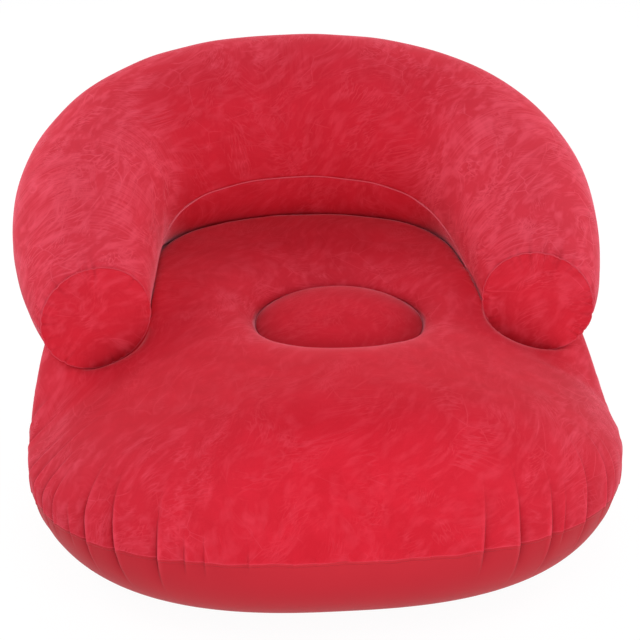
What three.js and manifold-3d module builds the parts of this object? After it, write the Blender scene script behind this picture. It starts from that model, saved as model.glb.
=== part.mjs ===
// Inflatable armchair welded from flocked PVC sheet: a round-cornered seat cushion with a dished top
// and a domed centre panel, and one horseshoe air tube on it that is both backrest and arms.
// Millimetres, +Z up, the sitter looks along -Y. The origin is on the floor, under the middle.

import * as THREE from 'three';
import Module from 'manifold-3d';

const wasm = await Module();
wasm.setup();

// Driving dimensions: the seat cushion
const seatHalfWidth = 515;
const seatFrontReach = 420;
const seatRearReach = 775;
const frontSquareness = 2.3;
const rearSquareness = 2.1;
const widestHeight = 162;
const floorInset = 163;
const crownHeight = 402;
const crownX = 20;
const crownSideFallFront = 200;
const crownSideFallRear = 45;
const crownSideFallReach = 250;
const crownRearFall = 40;
const crownInsetFront = 190;
const crownInsetSide = 110;
const crownInsetRear = 170;
const shoulderSquareness = 2.8;
const seamHeightShareFront = 0.99;
const seamHeightShareSide = 0.84;

// Driving dimensions: the well in the seat
const wellX = 37;
const wellY = 115;
const wellRadius = 148;
const wellRimHeight = 347;
const wellTiltShare = 0.05;
const dishSteepnessFront = 6;
const dishSteepnessSide = 4;
const dishSteepnessRear = 2.5;
const panelRise = 32;

// Driving dimensions: the horseshoe tube
const spineHalfWidth = 405;
const spineDepth = 399;
const spineCentreY = 267;
const spineSquareness = 2.6;
const spineEndDegrees = 107.8;
const tubeHalfWidthBack = 118;
const tubeHalfWidthSide = 148;
const tubeHalfWidthEnd = 98;
const tubeHalfHeightBack = 186;
const tubeHalfHeightSide = 161;
const tubeHalfHeightEnd = 93;
const tubePress = 12;
const innerSeamDegrees = -14;
const outerSeamDegrees = 188;
const endCapRise = 17;

// Driving dimensions: where the tube rests on the seat, a plane that climbs towards the back
const restHeightAtEnds = 286;
const restTiltShare = 0.11;
const dentStartShare = 0.75;
const dentSideSlopeShare = 1.2;
const dentFrontSlopeShare = 0.42;
const dentFrontFlat = 30;
const dentSoftness = 20;

// Driving dimensions: sheet and welds
const flockedWall = 0.5;
const plainWall = 0.4;
const gap = 0.3;
const weldWidth = 12;
const weldProud = 0.5;
const weldDepth = 1;
const beadWidth = 10;
const lipHeight = 7;
const lipThickness = 3;
const lipRoot = 3;
const stripWidth = 56;
const stripThickness = 2;
const stripEndShare = 0.95;
const sleeveWall = 0.5;
const sleeveFlange = 12;
const ventRadius = 14;
const ventCount = 6;
const ventHeightShare = 0.5;

// Driving dimensions: the two-stage air valves
const neckRadius = 15;
const neckWall = 1.8;
const neckStand = 5;
const flangeRadius = 24;
const flangeThickness = 1.5;
const padSink = 7;
const padMargin = 6;
const stopperThickness = 2;
const stopperOverhang = 0.6;
const stopperDepth = 8;
const stopperDraft = 1.6;
const skirtWall = 1.4;
const boreRadius = 4.6;
const boreWall = 1.5;
const boreStand = 1.5;
const capOverhang = 1;
const capThickness = 1.8;
const capPlugDepth = 4.2;
const capPlugDraft = 1;
const capTabLength = 5;
const flapThickness = 0.8;
const hingeReach = 3.4;
const hingeRadius = 0.8;
const hingePadGap = 0.4;
const lugThickness = 2;
const stopperTabLength = 5;
const flapHingeReach = 1.6;
const strapWidth = 9;
const capStrapWidth = 5;
const seatValveDegrees = 103;
const seatValveShare = 0.3;
const tubeValveShare = -0.17;
const tubeValveDegrees = 145;

// Counts
const seatColumns = 44;
const bottomArcRows = 5;
const shoulderRows = 3;
const dishRows = 8;
const panelRows = 4;
const tubeStations = 28;
const upperFrontRows = 9;
const upperRearRows = 2;
const lowerSideRows = 3;
const flatRows = 2;
const capRows = 3;
const roundSides = 24;
const ventSides = 16;
const beadSides = 12;
const spineSamples = 240;
const fullTurn = Math.PI * 2;
const quarterTurn = Math.PI / 2;
const small = 1e-3;
const probe = 0.02;
const overrun = 20;

// Colours
const flockedRed = new THREE.MeshStandardMaterial({ color: 0xc2273b, roughness: 0.95, metalness: 0 });
const plainRed = new THREE.MeshStandardMaterial({ color: 0xb32a3a, roughness: 0.5, metalness: 0 });
const weldRed = new THREE.MeshStandardMaterial({ color: 0xa82434, roughness: 0.6, metalness: 0 });
const innerClear = new THREE.MeshStandardMaterial({ color: 0xd0c8c8, roughness: 0.4, metalness: 0 });
const valveRed = new THREE.MeshStandardMaterial({ color: 0xb01f30, roughness: 0.35, metalness: 0 });
const flapClear = new THREE.MeshStandardMaterial({ color: 0xdcdcdc, roughness: 0.3, metalness: 0 });

const chair = new THREE.Group();

const degrees = (angle) => THREE.MathUtils.degToRad(angle);
const mix = THREE.MathUtils.lerp;
const signedPower = (value, power) => Math.sign(value) * Math.abs(value) ** power;
const range = (count, from = 0, to = 1) => (
  Array.from({ length: count + 1 }, (_, i) => mix(from, to, i / count))
);

// Smaller of two values, rounded off where they come within a reach of each other
function softMinimum(first, second, reach) {
  const near = Math.max(reach - Math.abs(first - second), 0);
  return Math.min(first, second) - near * near / (4 * reach);
}

// Height of the plane on which the tube rests
const spineEndReach = signedPower(Math.cos(degrees(spineEndDegrees)), 2 / spineSquareness);
const spineEndY = spineCentreY + spineDepth * spineEndReach;
const restPlane = (y) => restHeightAtEnds + restTiltShare * (y - spineEndY);

// Value that changes smoothly through three stops at share 0, a half and 1
const throughThree = (share, first, middle, last) => {
  const near = (1 - share) * (1 - 2 * share);
  const halfway = 4 * share * (1 - share);
  const far = share * (2 * share - 1);
  return first * near + middle * halfway + last * far;
};

// The tube's centre line in plan, sampled at even steps of length, from the left end to the right
const spineAt = (angle) => new THREE.Vector2(
  spineHalfWidth * signedPower(Math.sin(angle), 2 / spineSquareness),
  spineCentreY + spineDepth * signedPower(Math.cos(angle), 2 / spineSquareness),
);
const spineSampled = range(spineSamples, -degrees(spineEndDegrees), degrees(spineEndDegrees)).map(spineAt);
const spineLengths = spineSampled.reduce((sums, point, i) => {
  sums.push(i ? sums[i - 1] + point.distanceTo(spineSampled[i - 1]) : 0);
  return sums;
}, []);
const spineLength = spineLengths[spineSamples];

// Point and direction of the centre line at a share from -1, the left end, to 1, the right end
function spine(share) {
  const wanted = (share + 1) / 2 * spineLength;
  let i = spineLengths.findIndex((length) => length >= wanted);
  i = Math.min(Math.max(i < 0 ? spineSamples : i, 1), spineSamples);
  const part = (wanted - spineLengths[i - 1]) / (spineLengths[i] - spineLengths[i - 1]);
  const before = spineSampled[Math.max(i - 2, 0)];
  const after = spineSampled[Math.min(i + 1, spineSamples)];
  const along = after.clone().sub(before).normalize();
  const point = spineSampled[i - 1].clone().lerp(spineSampled[i], part);
  return { point, along, inward: new THREE.Vector2(along.y, -along.x) };
}

const tubeHalfWidth = (share) => (
  throughThree(Math.abs(share), tubeHalfWidthBack, tubeHalfWidthSide, tubeHalfWidthEnd)
);
const tubeHalfHeight = (share) => (
  throughThree(Math.abs(share), tubeHalfHeightBack, tubeHalfHeightSide, tubeHalfHeightEnd)
);
const tubeFloor = stripThickness + 2 * gap;

// Angle below the middle at which the flat underside of the tube starts
const flatHalfAngle = (share) => Math.acos((tubeHalfHeight(share) - tubePress) / tubeHalfHeight(share));

// Point on the tube's skin: angle 0 faces the sitter and a quarter turn faces up
function tubePoint(share, angle, proud = 0) {
  const { point, inward } = spine(share);
  const across = (tubeHalfWidth(share) + proud) * Math.cos(angle);
  const x = point.x + inward.x * across;
  const y = point.y + inward.y * across;
  const halfHeight = tubeHalfHeight(share);
  const above = halfHeight - tubePress + (halfHeight + proud) * Math.sin(angle);
  const raised = Math.max(above, 0) + tubeFloor;
  return new THREE.Vector3(x, y, restPlane(y) + raised);
}

// Height that the tube leaves free for the seat's top at a place in plan
function dentHeight(x, y) {
  const place = new THREE.Vector2(x, y);
  let nearest = 0;
  let distance = Infinity;
  spineSampled.forEach((point, i) => {
    const reach = point.distanceTo(place);
    if (reach < distance) {
      distance = reach;
      nearest = i;
    }
  });
  const share = spineLengths[nearest] / spineLength * 2 - 1;
  let beyond = 0;
  if (nearest === 0 || nearest === spineSamples) {
    const { along } = spine(share);
    const offset = place.clone().sub(spineSampled[nearest]);
    beyond = Math.max(offset.dot(along) * Math.sign(share), 0);
    distance = Math.sqrt(Math.max(distance * distance - beyond * beyond, 0));
  }
  const sideRise = dentSideSlopeShare * Math.max(distance - tubeHalfWidth(share) * dentStartShare, 0);
  const frontRise = dentFrontSlopeShare * Math.max(beyond - dentFrontFlat, 0);
  return restPlane(y) + sideRise + frontRise;
}

// Plan outline of the seat: one squarish curve for the front half and one for the rear half
function seatOutline(angle) {
  const across = Math.cos(angle);
  const along = Math.sin(angle);
  const reach = along < 0 ? seatFrontReach : seatRearReach;
  const squareness = along < 0 ? frontSquareness : rearSquareness;
  const sum = Math.abs(across / seatHalfWidth) ** squareness + Math.abs(along / reach) ** squareness;
  return sum ** (-1 / squareness);
}

// Value that differs between the seat's front, sides and rear
function aroundSeat(angle, front, side, rear) {
  const along = Math.sin(angle);
  return side + ((along < 0 ? front : rear) - side) * along * along;
}

// Height of the seat's top where the tube doesn't press it: highest along its middle
function crown(x, y) {
  const behind = THREE.MathUtils.smoothstep(y, 0, crownSideFallReach);
  const sideFall = mix(crownSideFallFront, crownSideFallRear, behind) * ((x - crownX) / seatHalfWidth) ** 2;
  return crownHeight - sideFall - crownRearFall * (Math.max(y, 0) / seatRearReach) ** 2;
}

// Places on the seat's section. Its floor contact runs from its middle at -1 to its edge at 0
const floorMiddlePlace = -1;
const floorEdgePlace = 0;
const widestPlace = 1;
const crownPlace = 2;
const rimPlace = 3;

// Point on the seat's skin at an angle around it and a place on its section
function seatPoint(angle, place) {
  const outline = seatOutline(angle);
  const crownInset = aroundSeat(angle, crownInsetFront, crownInsetSide, crownInsetRear);
  const radial = (radius, height) => (
    new THREE.Vector3(radius * Math.cos(angle), radius * Math.sin(angle), height)
  );
  if (place < floorEdgePlace) {
    return radial((outline - floorInset) * (1 + place), 0);
  }
  if (place < widestPlace) {
    const turn = place * quarterTurn;
    return radial(outline - floorInset * (1 - Math.sin(turn)), widestHeight * (1 - Math.cos(turn)));
  }
  const power = 2 / shoulderSquareness;
  const turn = Math.min(place - widestPlace, 1) * quarterTurn;
  const inset = crownInset * (1 - Math.max(Math.cos(turn), 0) ** power);
  const point = radial(outline - inset, widestHeight);
  const share = Math.max(place - crownPlace, 0);
  point.x = mix(point.x, wellX + wellRadius * Math.cos(angle), share);
  point.y = mix(point.y, wellY + wellRadius * Math.sin(angle), share);
  point.z = mix(widestHeight, crown(point.x, point.y), Math.sin(turn) ** power);
  const steepness = aroundSeat(angle, dishSteepnessFront, dishSteepnessSide, dishSteepnessRear);
  point.z = mix(point.z, wellRim(angle), share ** steepness);
  point.z = softMinimum(point.z, dentHeight(point.x, point.y), dentSoftness);
  return point;
}
const wellRim = (angle) => wellRimHeight + wellTiltShare * wellRadius * Math.sin(angle);

// Domed panel in the well: share 0 is its middle and 1 its edge
function panelPoint(angle, share) {
  const radius = share * (wellRadius - weldWidth / 2 - gap);
  const x = wellX + radius * Math.cos(angle);
  const y = wellY + radius * Math.sin(angle);
  const z = wellRimHeight + wellTiltShare * (y - wellY) + panelRise * (1 - share * share);
  return new THREE.Vector3(x, y, z);
}

// Outward normal of a surface given by two values
function surfaceNormal(surface, first, second, sign) {
  const alongFirst = surface(first + probe, second).sub(surface(first - probe, second));
  if (alongFirst.length() < small) return surfaceNormal(surface, first, second + probe, sign);
  const alongSecond = surface(first, second + probe).sub(surface(first, second - probe));
  return alongFirst.cross(alongSecond).normalize().multiplyScalar(sign);
}

// A section pairs each point of a sheet's outer face with one of its inner face
function sheetSection(surface, first, seconds, wall, sign, proud = 0) {
  return seconds.map((second) => {
    const outer = surface(first, second);
    const normal = surfaceNormal(surface, first, second, sign);
    return [outer.clone().addScaledVector(normal, proud), outer.addScaledVector(normal, -wall)];
  });
}

// Closed solid through a row of sections, joined end to end or in a ring. Its inner face is cut into
// triangles along the same diagonals as its outer face, so that the two never cross.
function loft(sections, ring) {
  const positions = [];
  const index = [];
  const known = new Map();
  const vertex = (point) => {
    const key = point.toArray().map((value) => Math.round(value / small)).join();
    if (!known.has(key)) {
      known.set(key, positions.length / 3);
      positions.push(...point.toArray());
    }
    return known.get(key);
  };
  const triangle = (a, b, c) => {
    if (a !== b && b !== c && c !== a) index.push(a, b, c);
  };
  const quad = (a, b, c, d) => {
    const corners = [a, b, c, d].map(vertex);
    triangle(corners[0], corners[1], corners[2]);
    triangle(corners[0], corners[2], corners[3]);
  };
  const loops = sections.map((pairs) => [
    ...pairs.map((pair) => pair[0]),
    ...pairs.map((pair) => pair[1]).reverse(),
  ]);
  const spans = ring ? loops.length : loops.length - 1;
  for (let i = 0; i < spans; i += 1) {
    const here = loops[i];
    const next = loops[(i + 1) % loops.length];
    here.forEach((point, j) => {
      const k = (j + 1) % here.length;
      const corners = [point, here[k], next[k], next[j]];
      if (j >= sections[0].length) corners.push(corners.shift());
      quad(...corners);
    });
  }
  if (!ring) {
    const first = sections[0];
    const last = sections[sections.length - 1];
    for (let j = 0; j + 1 < first.length; j += 1) {
      quad(first[j + 1][0], first[j][0], first[j][1], first[j + 1][1]);
      quad(last[j][0], last[j + 1][0], last[j + 1][1], last[j][1]);
    }
  }
  return solidFrom(positions, index);
}

// Solid from a mesh, turned so that its faces point out
function solidFrom(positions, index) {
  const corner = (i) => new THREE.Vector3().fromArray(positions, index[i] * 3);
  let volume = 0;
  for (let i = 0; i < index.length; i += 3) {
    volume += corner(i).dot(corner(i + 1).cross(corner(i + 2)));
  }
  if (volume < 0) index.reverse();
  const mesh = new wasm.Mesh({
    numProp: 3,
    vertProperties: new Float32Array(positions),
    triVerts: new Uint32Array(index),
  });
  return new wasm.Manifold(mesh);
}

// Solid from one of the library's shapes
function solidOf(geometry) {
  const place = geometry.getAttribute('position');
  const known = new Map();
  const positions = [];
  const names = [];
  for (let i = 0; i < place.count; i += 1) {
    const point = new THREE.Vector3().fromBufferAttribute(place, i);
    const key = point.toArray().map((value) => Math.round(value / small)).join();
    if (!known.has(key)) {
      known.set(key, positions.length / 3);
      positions.push(...point.toArray());
    }
    names.push(known.get(key));
  }
  const source = geometry.index ? Array.from(geometry.index.array) : names.map((_, i) => i);
  const index = [];
  for (let i = 0; i < source.length; i += 3) {
    const [a, b, c] = source.slice(i, i + 3).map((j) => names[j]);
    if (a !== b && b !== c && c !== a) index.push(a, b, c);
  }
  return solidFrom(positions, index);
}

// Named mesh from a solid
function addPiece(name, solid, material, parent = chair) {
  const mesh = solid.getMesh();
  const geometry = new THREE.BufferGeometry();
  geometry.setAttribute('position', new THREE.BufferAttribute(new Float32Array(mesh.vertProperties), 3));
  geometry.setIndex(new THREE.BufferAttribute(new Uint32Array(mesh.triVerts), 1));
  const piece = new THREE.Mesh(geometry, material);
  piece.name = name;
  parent.add(piece);
  return piece;
}

// Shape turned about an axis that points along +Z, from pairs of radius and height
function turned(profile, frame = new THREE.Matrix4()) {
  const points = [...profile, profile[0]].map(([radius, height]) => new THREE.Vector2(radius, height));
  const geometry = new THREE.LatheGeometry(points, roundSides);
  geometry.rotateX(quarterTurn);
  geometry.applyMatrix4(frame);
  return solidOf(geometry);
}
const disc = (radius, low, high, frame) => (
  turned([[0, low], [radius, low], [radius, high], [0, high]], frame)
);

// Box from its two corners
function block(low, high) {
  const size = high.map((value, i) => value - low[i]);
  const geometry = new THREE.BoxGeometry(...size);
  geometry.translate(...high.map((value, i) => (value + low[i]) / 2));
  return solidOf(geometry);
}

// The skin goes flat around a stiff valve. This is the frame of such a flat: its Z points out of the
// skin and its Y up along it. Its rows and columns are that far from the valve's middle.
function padFrame(surface, first, second) {
  const normal = surfaceNormal(surface, first, second, 1);
  const up = new THREE.Vector3(0, 0, 1);
  up.addScaledVector(normal, -up.dot(normal)).normalize();
  const across = up.clone().cross(normal);
  const origin = surface(first, second).addScaledVector(normal, -padSink);
  return new THREE.Matrix4().makeBasis(across, up, normal).setPosition(origin);
}
const padHalf = flangeRadius + padMargin;

// The same surface with its bulge cut down to the flat
function flattened(surface, frame) {
  const inverse = frame.clone().invert();
  return (first, second) => {
    const point = surface(first, second).applyMatrix4(inverse);
    return point.setZ(Math.min(point.z, 0)).applyMatrix4(frame);
  };
}

// Even steps between two limits, but one on each side of a middle and none nearer to it
function stepsAround(steps, middle, half) {
  const spacing = steps[1] - steps[0];
  const far = steps.filter((step) => Math.abs(step - middle) > spacing / 2 + half);
  return [...far, middle - half, middle + half].sort((a, b) => a - b);
}

const seatValveAngle = degrees(seatValveDegrees);
const seatValvePlace = widestPlace + seatValveShare;
const seatValveFrame = padFrame(seatPoint, seatValveAngle, seatValvePlace);
const seatFlattened = flattened(seatPoint, seatValveFrame);
const columnAngles = stepsAround(
  range(seatColumns, 0, fullTurn).slice(0, seatColumns),
  seatValveAngle,
  padHalf / Math.hypot(seatPoint(seatValveAngle, seatValvePlace).x, seatPoint(seatValveAngle, seatValvePlace).y),
);

// Where the seat's perimeter weld lies on its section, and the section place a distance away
function seamPlace(angle) {
  const share = aroundSeat(angle, seamHeightShareFront, seamHeightShareSide, seamHeightShareSide);
  return Math.acos(1 - share) / quarterTurn;
}
function seatStep(angle, place, distance) {
  const speed = seatPoint(angle, place + small).distanceTo(seatPoint(angle, place - small)) / (2 * small);
  return place + distance / speed;
}
const seatSheet = (places, wall, proud, surface = seatPoint) => loft(
  columnAngles.map((angle) => sheetSection(surface, angle, places(angle), wall, 1, proud)),
  true,
);

function seatTopPlaces(angle) {
  const start = seatStep(angle, seamPlace(angle), weldWidth / 2 + gap);
  const rim = seatStep(angle, rimPlace - small, -weldWidth / 2 - gap);
  const [low, high] = [-padHalf, padHalf].map((reach) => seatStep(angle, seatValvePlace, reach));
  const shoulder = range(shoulderRows, high, crownPlace);
  return [start, low, ...shoulder, ...range(dishRows, crownPlace, rim).slice(1)];
}
function seatBottomPlaces(angle) {
  const end = seatStep(angle, seamPlace(angle), -weldWidth / 2 - gap);
  return [floorMiddlePlace, ...range(bottomArcRows, floorEdgePlace, end)];
}
function seatWeldPlaces(angle) {
  const middle = seamPlace(angle);
  return [-1, 0, 1].map((side) => seatStep(angle, middle, side * weldWidth / 2));
}

// Seat top sheet, with the hole for its valve
const valveHole = (frame) => disc(neckRadius + gap, -overrun, overrun, frame);
const seatTop = seatSheet(seatTopPlaces, flockedWall, 0, seatFlattened);
addPiece('seat_top_skin', seatTop.subtract(valveHole(seatValveFrame)), flockedRed);

// Seat bottom sheet and the lapped weld around the cushion
addPiece('seat_bottom_skin', seatSheet(seatBottomPlaces, plainWall, 0), plainRed);
addPiece('seat_perimeter_weld', seatSheet(seatWeldPlaces, weldDepth, weldProud), weldRed);

// Domed panel in the well, measured down from its top face
const panelColumns = columnAngles.map((angle) => range(panelRows).map((share) => {
  const point = panelPoint(angle, share);
  return [point, point.clone().setZ(point.z - flockedWall)];
}));
addPiece('seat_well_panel', loft(panelColumns, true), flockedRed);

// Ring weld that joins the dish, the panel and the inner sleeve
const wellWeldColumns = columnAngles.map((angle) => {
  const outerPlace = seatStep(angle, rimPlace - small, -weldWidth / 2);
  const [dishEdge] = sheetSection(seatPoint, angle, [outerPlace], weldDepth, 1, weldProud);
  const flat = [0, weldWidth / 2].map((inset) => {
    const radius = wellRadius - inset;
    const x = wellX + radius * Math.cos(angle);
    const y = wellY + radius * Math.sin(angle);
    return [weldProud, -weldDepth].map((proud) => new THREE.Vector3(x, y, wellRim(angle) + proud));
  });
  return [dishEdge, ...flat];
});
addPiece('seat_well_weld', loft(wellWeldColumns, true), weldRed);

// Sleeve inside the cushion that holds the well down: a tube with a flange at each end and vents
function innerSleeve() {
  const low = plainWall + gap;
  const columns = columnAngles.map((angle) => {
    const high = wellRim(angle) - weldDepth - gap;
    const at = (radius, height) => (
      new THREE.Vector3(wellX + radius * Math.cos(angle), wellY + radius * Math.sin(angle), height)
    );
    const inner = wellRadius - sleeveWall;
    return [
      [at(wellRadius - sleeveFlange, high), at(wellRadius - sleeveFlange, high - sleeveWall)],
      [at(wellRadius, high), at(inner, high - sleeveWall)],
      [at(wellRadius, low + sleeveWall), at(inner, low)],
      [at(wellRadius + sleeveFlange, low + sleeveWall), at(wellRadius + sleeveFlange, low)],
    ];
  });
  let sleeve = loft(columns, true);
  range(ventCount, 0, fullTurn).slice(0, ventCount).forEach((angle) => {
    const vent = new THREE.CylinderGeometry(ventRadius, ventRadius, wellRadius, ventSides);
    vent.rotateZ(quarterTurn);
    vent.translate(wellRadius, 0, 0);
    vent.rotateZ(angle);
    vent.translate(wellX, wellY, wellRimHeight * ventHeightShare);
    sleeve = sleeve.subtract(solidOf(vent));
  });
  return sleeve;
}
addPiece('seat_inner_sleeve', innerSleeve(), innerClear);

// Stations along the tube between its two end welds
const halfSpine = spineLength / 2;
const skinEnd = 1 - (lipThickness / 2 + gap) / halfSpine;
const stations = stepsAround(
  range(tubeStations, -skinEnd, skinEnd),
  tubeValveShare,
  padHalf / halfSpine,
);

// Change of angle that moves a point around the tube by a distance
function tubeStep(share, angle, distance) {
  const speed = tubePoint(share, angle + small).distanceTo(tubePoint(share, angle - small)) / (2 * small);
  return angle + distance / speed;
}
const innerSeam = degrees(innerSeamDegrees);
const outerSeam = degrees(outerSeamDegrees);
const tubeValveAngle = degrees(tubeValveDegrees);

// Angles of the rows of the tube's upper and lower sheets, and of its two seams
function upperAngles(share) {
  const from = tubeStep(share, innerSeam, beadWidth / 2 + gap);
  const to = tubeStep(share, outerSeam, -beadWidth / 2 - gap);
  const [front, rear] = [-padHalf, padHalf].map((reach) => tubeStep(share, tubeValveAngle, reach));
  return [...range(upperFrontRows, from, front), ...range(upperRearRows, rear, to)];
}
function lowerAngles(share) {
  const from = tubeStep(share, outerSeam, beadWidth / 2 + gap);
  const to = tubeStep(share, innerSeam, -beadWidth / 2 - gap) + fullTurn;
  const lowest = 3 * quarterTurn;
  const flat = flatHalfAngle(share);
  return [
    ...range(lowerSideRows, from, lowest - flat),
    ...range(flatRows, lowest - flat, lowest + flat).slice(1),
    ...range(lowerSideRows, lowest + flat, to).slice(1),
  ];
}
const seamAngles = (seam) => (share) => [-1, 0, 1].map((side) => tubeStep(share, seam, side * beadWidth / 2));
const tubeSheet = (angles, wall, proud, surface = tubePoint) => loft(
  stations.map((share) => sheetSection(surface, share, angles(share), wall, 1, proud)),
  false,
);

// Tube sheets and the beads of their two long seams
const tubeValveFrame = padFrame(tubePoint, tubeValveShare, tubeValveAngle);
const tubeUpper = tubeSheet(upperAngles, flockedWall, 0, flattened(tubePoint, tubeValveFrame));
addPiece('backrest_upper_skin', tubeUpper.subtract(valveHole(tubeValveFrame)), flockedRed);
addPiece('backrest_lower_skin', tubeSheet(lowerAngles, flockedWall, 0), flockedRed);
addPiece('backrest_inner_seam', tubeSheet(seamAngles(innerSeam), weldDepth, weldProud), weldRed);
addPiece('backrest_outer_seam', tubeSheet(seamAngles(outerSeam), weldDepth, weldProud), weldRed);

// Middle of the tube's section, and the angles all the way round it
function tubeMiddle(share) {
  const { point } = spine(share);
  const height = restPlane(point.y) + tubeFloor + tubeHalfHeight(share) - tubePress;
  return new THREE.Vector3(point.x, point.y, height);
}
const endAngles = (end) => [...upperAngles(end * skinEnd), ...lowerAngles(end * skinEnd)];

// Round end of an arm: a flat disc that the air bulges
function endCap(end) {
  const share = end * (1 + (lipThickness / 2 + gap + flockedWall) / halfSpine);
  const middle = tubeMiddle(share);
  const { along } = spine(share);
  const outward = new THREE.Vector3(along.x, along.y, 0).multiplyScalar(end);
  return loft(endAngles(end).map((angle) => range(capRows).map((reach) => {
    const point = middle.clone().lerp(tubePoint(share, angle), reach);
    point.addScaledVector(outward, endCapRise * (1 - reach * reach));
    return [point, point.clone().addScaledVector(outward, -flockedWall)];
  })), true);
}

// Raised weld lip around the end of an arm, pressed flat where it lies on the seat
function endLip(end) {
  const middle = tubeMiddle(end);
  const faces = [-1, 1].map((side) => end * (1 + side * lipThickness / 2 / halfSpine));
  return loft(endAngles(end).map((angle) => {
    const [outside, root] = [lipHeight, -lipRoot].map((proud) => faces.map((share) => {
      const rim = tubePoint(share, angle);
      const centre = tubeMiddle(share);
      const point = rim.clone().addScaledVector(rim.clone().sub(centre).normalize(), proud);
      point.z = Math.max(point.z, restPlane(point.y) + tubeFloor);
      return point;
    }));
    return [outside, root];
  }), true);
}
const arms = { left: -1, right: 1 };
Object.entries(arms).forEach(([side, end]) => {
  addPiece(`${side}_arm_end_cap`, endCap(end), flockedRed);
  addPiece(`${side}_arm_end_lip`, endLip(end), weldRed);
});

// Strip that welds the tube to the seat, lying on the plane between them
const stripSections = range(tubeStations, -stripEndShare, stripEndShare).map((share) => {
  const { point, inward } = spine(share);
  return [-1, 1].map((side) => {
    const place = point.clone().addScaledVector(inward, side * stripWidth / 2);
    const low = restPlane(place.y) + gap;
    return [low + stripThickness, low].map((height) => new THREE.Vector3(place.x, place.y, height));
  });
});
addPiece('backrest_joining_strip', loft(stripSections, false), weldRed);

// Parts of a two-stage valve, each in the valve's own frame, with Z out of the skin and 0 on it
const neckBore = neckRadius - neckWall;
const stopperRadius = neckRadius + stopperOverhang;
const stopperSeat = neckStand + gap;
const stopperTop = stopperSeat + stopperThickness;
const stopperFoot = stopperSeat - stopperDepth;
const tubeOfBore = boreRadius + boreWall;
const boreTop = stopperTop + boreStand;
const capRadius = tubeOfBore + capOverhang;
const capSeat = boreTop + gap;
const hingeY = stopperRadius + hingeReach;
const hingeZ = stopperSeat + stopperThickness / 2;
const capHingeX = capRadius + hingeReach;
const capHingeZ = capSeat + capThickness / 2;
const flapTop = stopperFoot - gap;
const flapHingeY = tubeOfBore + flapHingeReach;
const flapHingeZ = flapTop - flapThickness / 2;

// Round hinge bead that runs along X at a place
function bead(radius, length, y, z) {
  const geometry = new THREE.CylinderGeometry(radius, radius, length, beadSides);
  geometry.rotateZ(quarterTurn);
  geometry.translate(0, y, z);
  return solidOf(geometry);
}

// Neck with its flange under the skin and the lug that its stopper's strap hangs from
function valveBase() {
  const flangeTop = -flockedWall - gap;
  const flangeLow = flangeTop - flangeThickness;
  const ring = turned([
    [neckBore, flangeLow],
    [flangeRadius, flangeLow],
    [flangeRadius, flangeTop],
    [neckRadius, flangeTop],
    [neckRadius, neckStand],
    [neckBore, neckStand],
  ]);
  const lug = block(
    [-strapWidth / 2, neckRadius - neckWall / 2, neckStand - lugThickness],
    [strapWidth / 2, hingeY + hingeRadius, neckStand],
  );
  return ring.add(lug);
}

// Wide stopper for letting the air out, with a bore up its middle and a skirt that seals the neck
function valveStopper() {
  const skirtTop = neckBore - gap;
  const skirtFoot = skirtTop - stopperDraft;
  const body = turned([
    [boreRadius, stopperFoot],
    [tubeOfBore, stopperFoot],
    [tubeOfBore, stopperSeat],
    [skirtTop - skirtWall, stopperSeat],
    [skirtFoot - skirtWall, stopperFoot],
    [skirtFoot, stopperFoot],
    [skirtTop, stopperSeat],
    [stopperRadius, stopperSeat],
    [stopperRadius, stopperTop],
    [tubeOfBore, stopperTop],
    [tubeOfBore, boreTop],
    [boreRadius, boreTop],
  ]);
  const strap = block(
    [-strapWidth / 2, stopperRadius - stopperOverhang, hingeZ - hingeRadius],
    [strapWidth / 2, hingeY, hingeZ + hingeRadius],
  );
  const pull = block(
    [-strapWidth / 2, -stopperRadius - stopperTabLength, hingeZ - hingeRadius],
    [strapWidth / 2, -stopperRadius + stopperOverhang, hingeZ + hingeRadius],
  );
  const capPad = block(
    [capHingeX - 2 * hingeRadius, -capStrapWidth / 2, stopperTop - stopperThickness / 2],
    [capHingeX + 2 * hingeRadius, capStrapWidth / 2, capHingeZ - hingeRadius - hingePadGap],
  );
  const flapLug = block(
    [-capStrapWidth / 2, tubeOfBore - boreWall / 2, stopperFoot],
    [capStrapWidth / 2, flapHingeY + flapThickness, stopperFoot + lugThickness],
  );
  return [strap, pull, capPad, flapLug, bead(hingeRadius, strapWidth, hingeY, hingeZ)]
    .reduce((sum, solid) => sum.add(solid), body);
}

// Small cap on the inflation bore, with its side strap and a pull tab
function valveCap() {
  const plugTop = boreRadius - gap;
  const plugFoot = plugTop - capPlugDraft;
  const body = turned([
    [0, boreTop - capPlugDepth],
    [plugFoot, boreTop - capPlugDepth],
    [plugTop, boreTop],
    [plugTop, capSeat],
    [capRadius, capSeat],
    [capRadius, capSeat + capThickness],
    [0, capSeat + capThickness],
  ]);
  const strap = block(
    [capRadius - capOverhang, -capStrapWidth / 2, capHingeZ - hingeRadius],
    [capHingeX, capStrapWidth / 2, capHingeZ + hingeRadius],
  );
  const tab = block(
    [-capRadius - capTabLength, -capStrapWidth / 2, capHingeZ - hingeRadius],
    [-capRadius + capOverhang, capStrapWidth / 2, capHingeZ + hingeRadius],
  );
  const knuckle = new THREE.CylinderGeometry(hingeRadius, hingeRadius, capStrapWidth, beadSides);
  knuckle.translate(capHingeX, 0, capHingeZ);
  return body.add(strap).add(tab).add(solidOf(knuckle));
}

// Soft check flap under the bore, which the pump's air pushes in and the chair's air shuts
function valveFlap() {
  const leaf = disc(tubeOfBore, flapTop - flapThickness, flapTop);
  const strap = block(
    [-capStrapWidth / 2, tubeOfBore - boreWall, flapTop - flapThickness],
    [capStrapWidth / 2, flapHingeY, flapTop],
  );
  return leaf.add(strap).add(bead(flapThickness / 2, capStrapWidth, flapHingeY, flapHingeZ));
}

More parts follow.
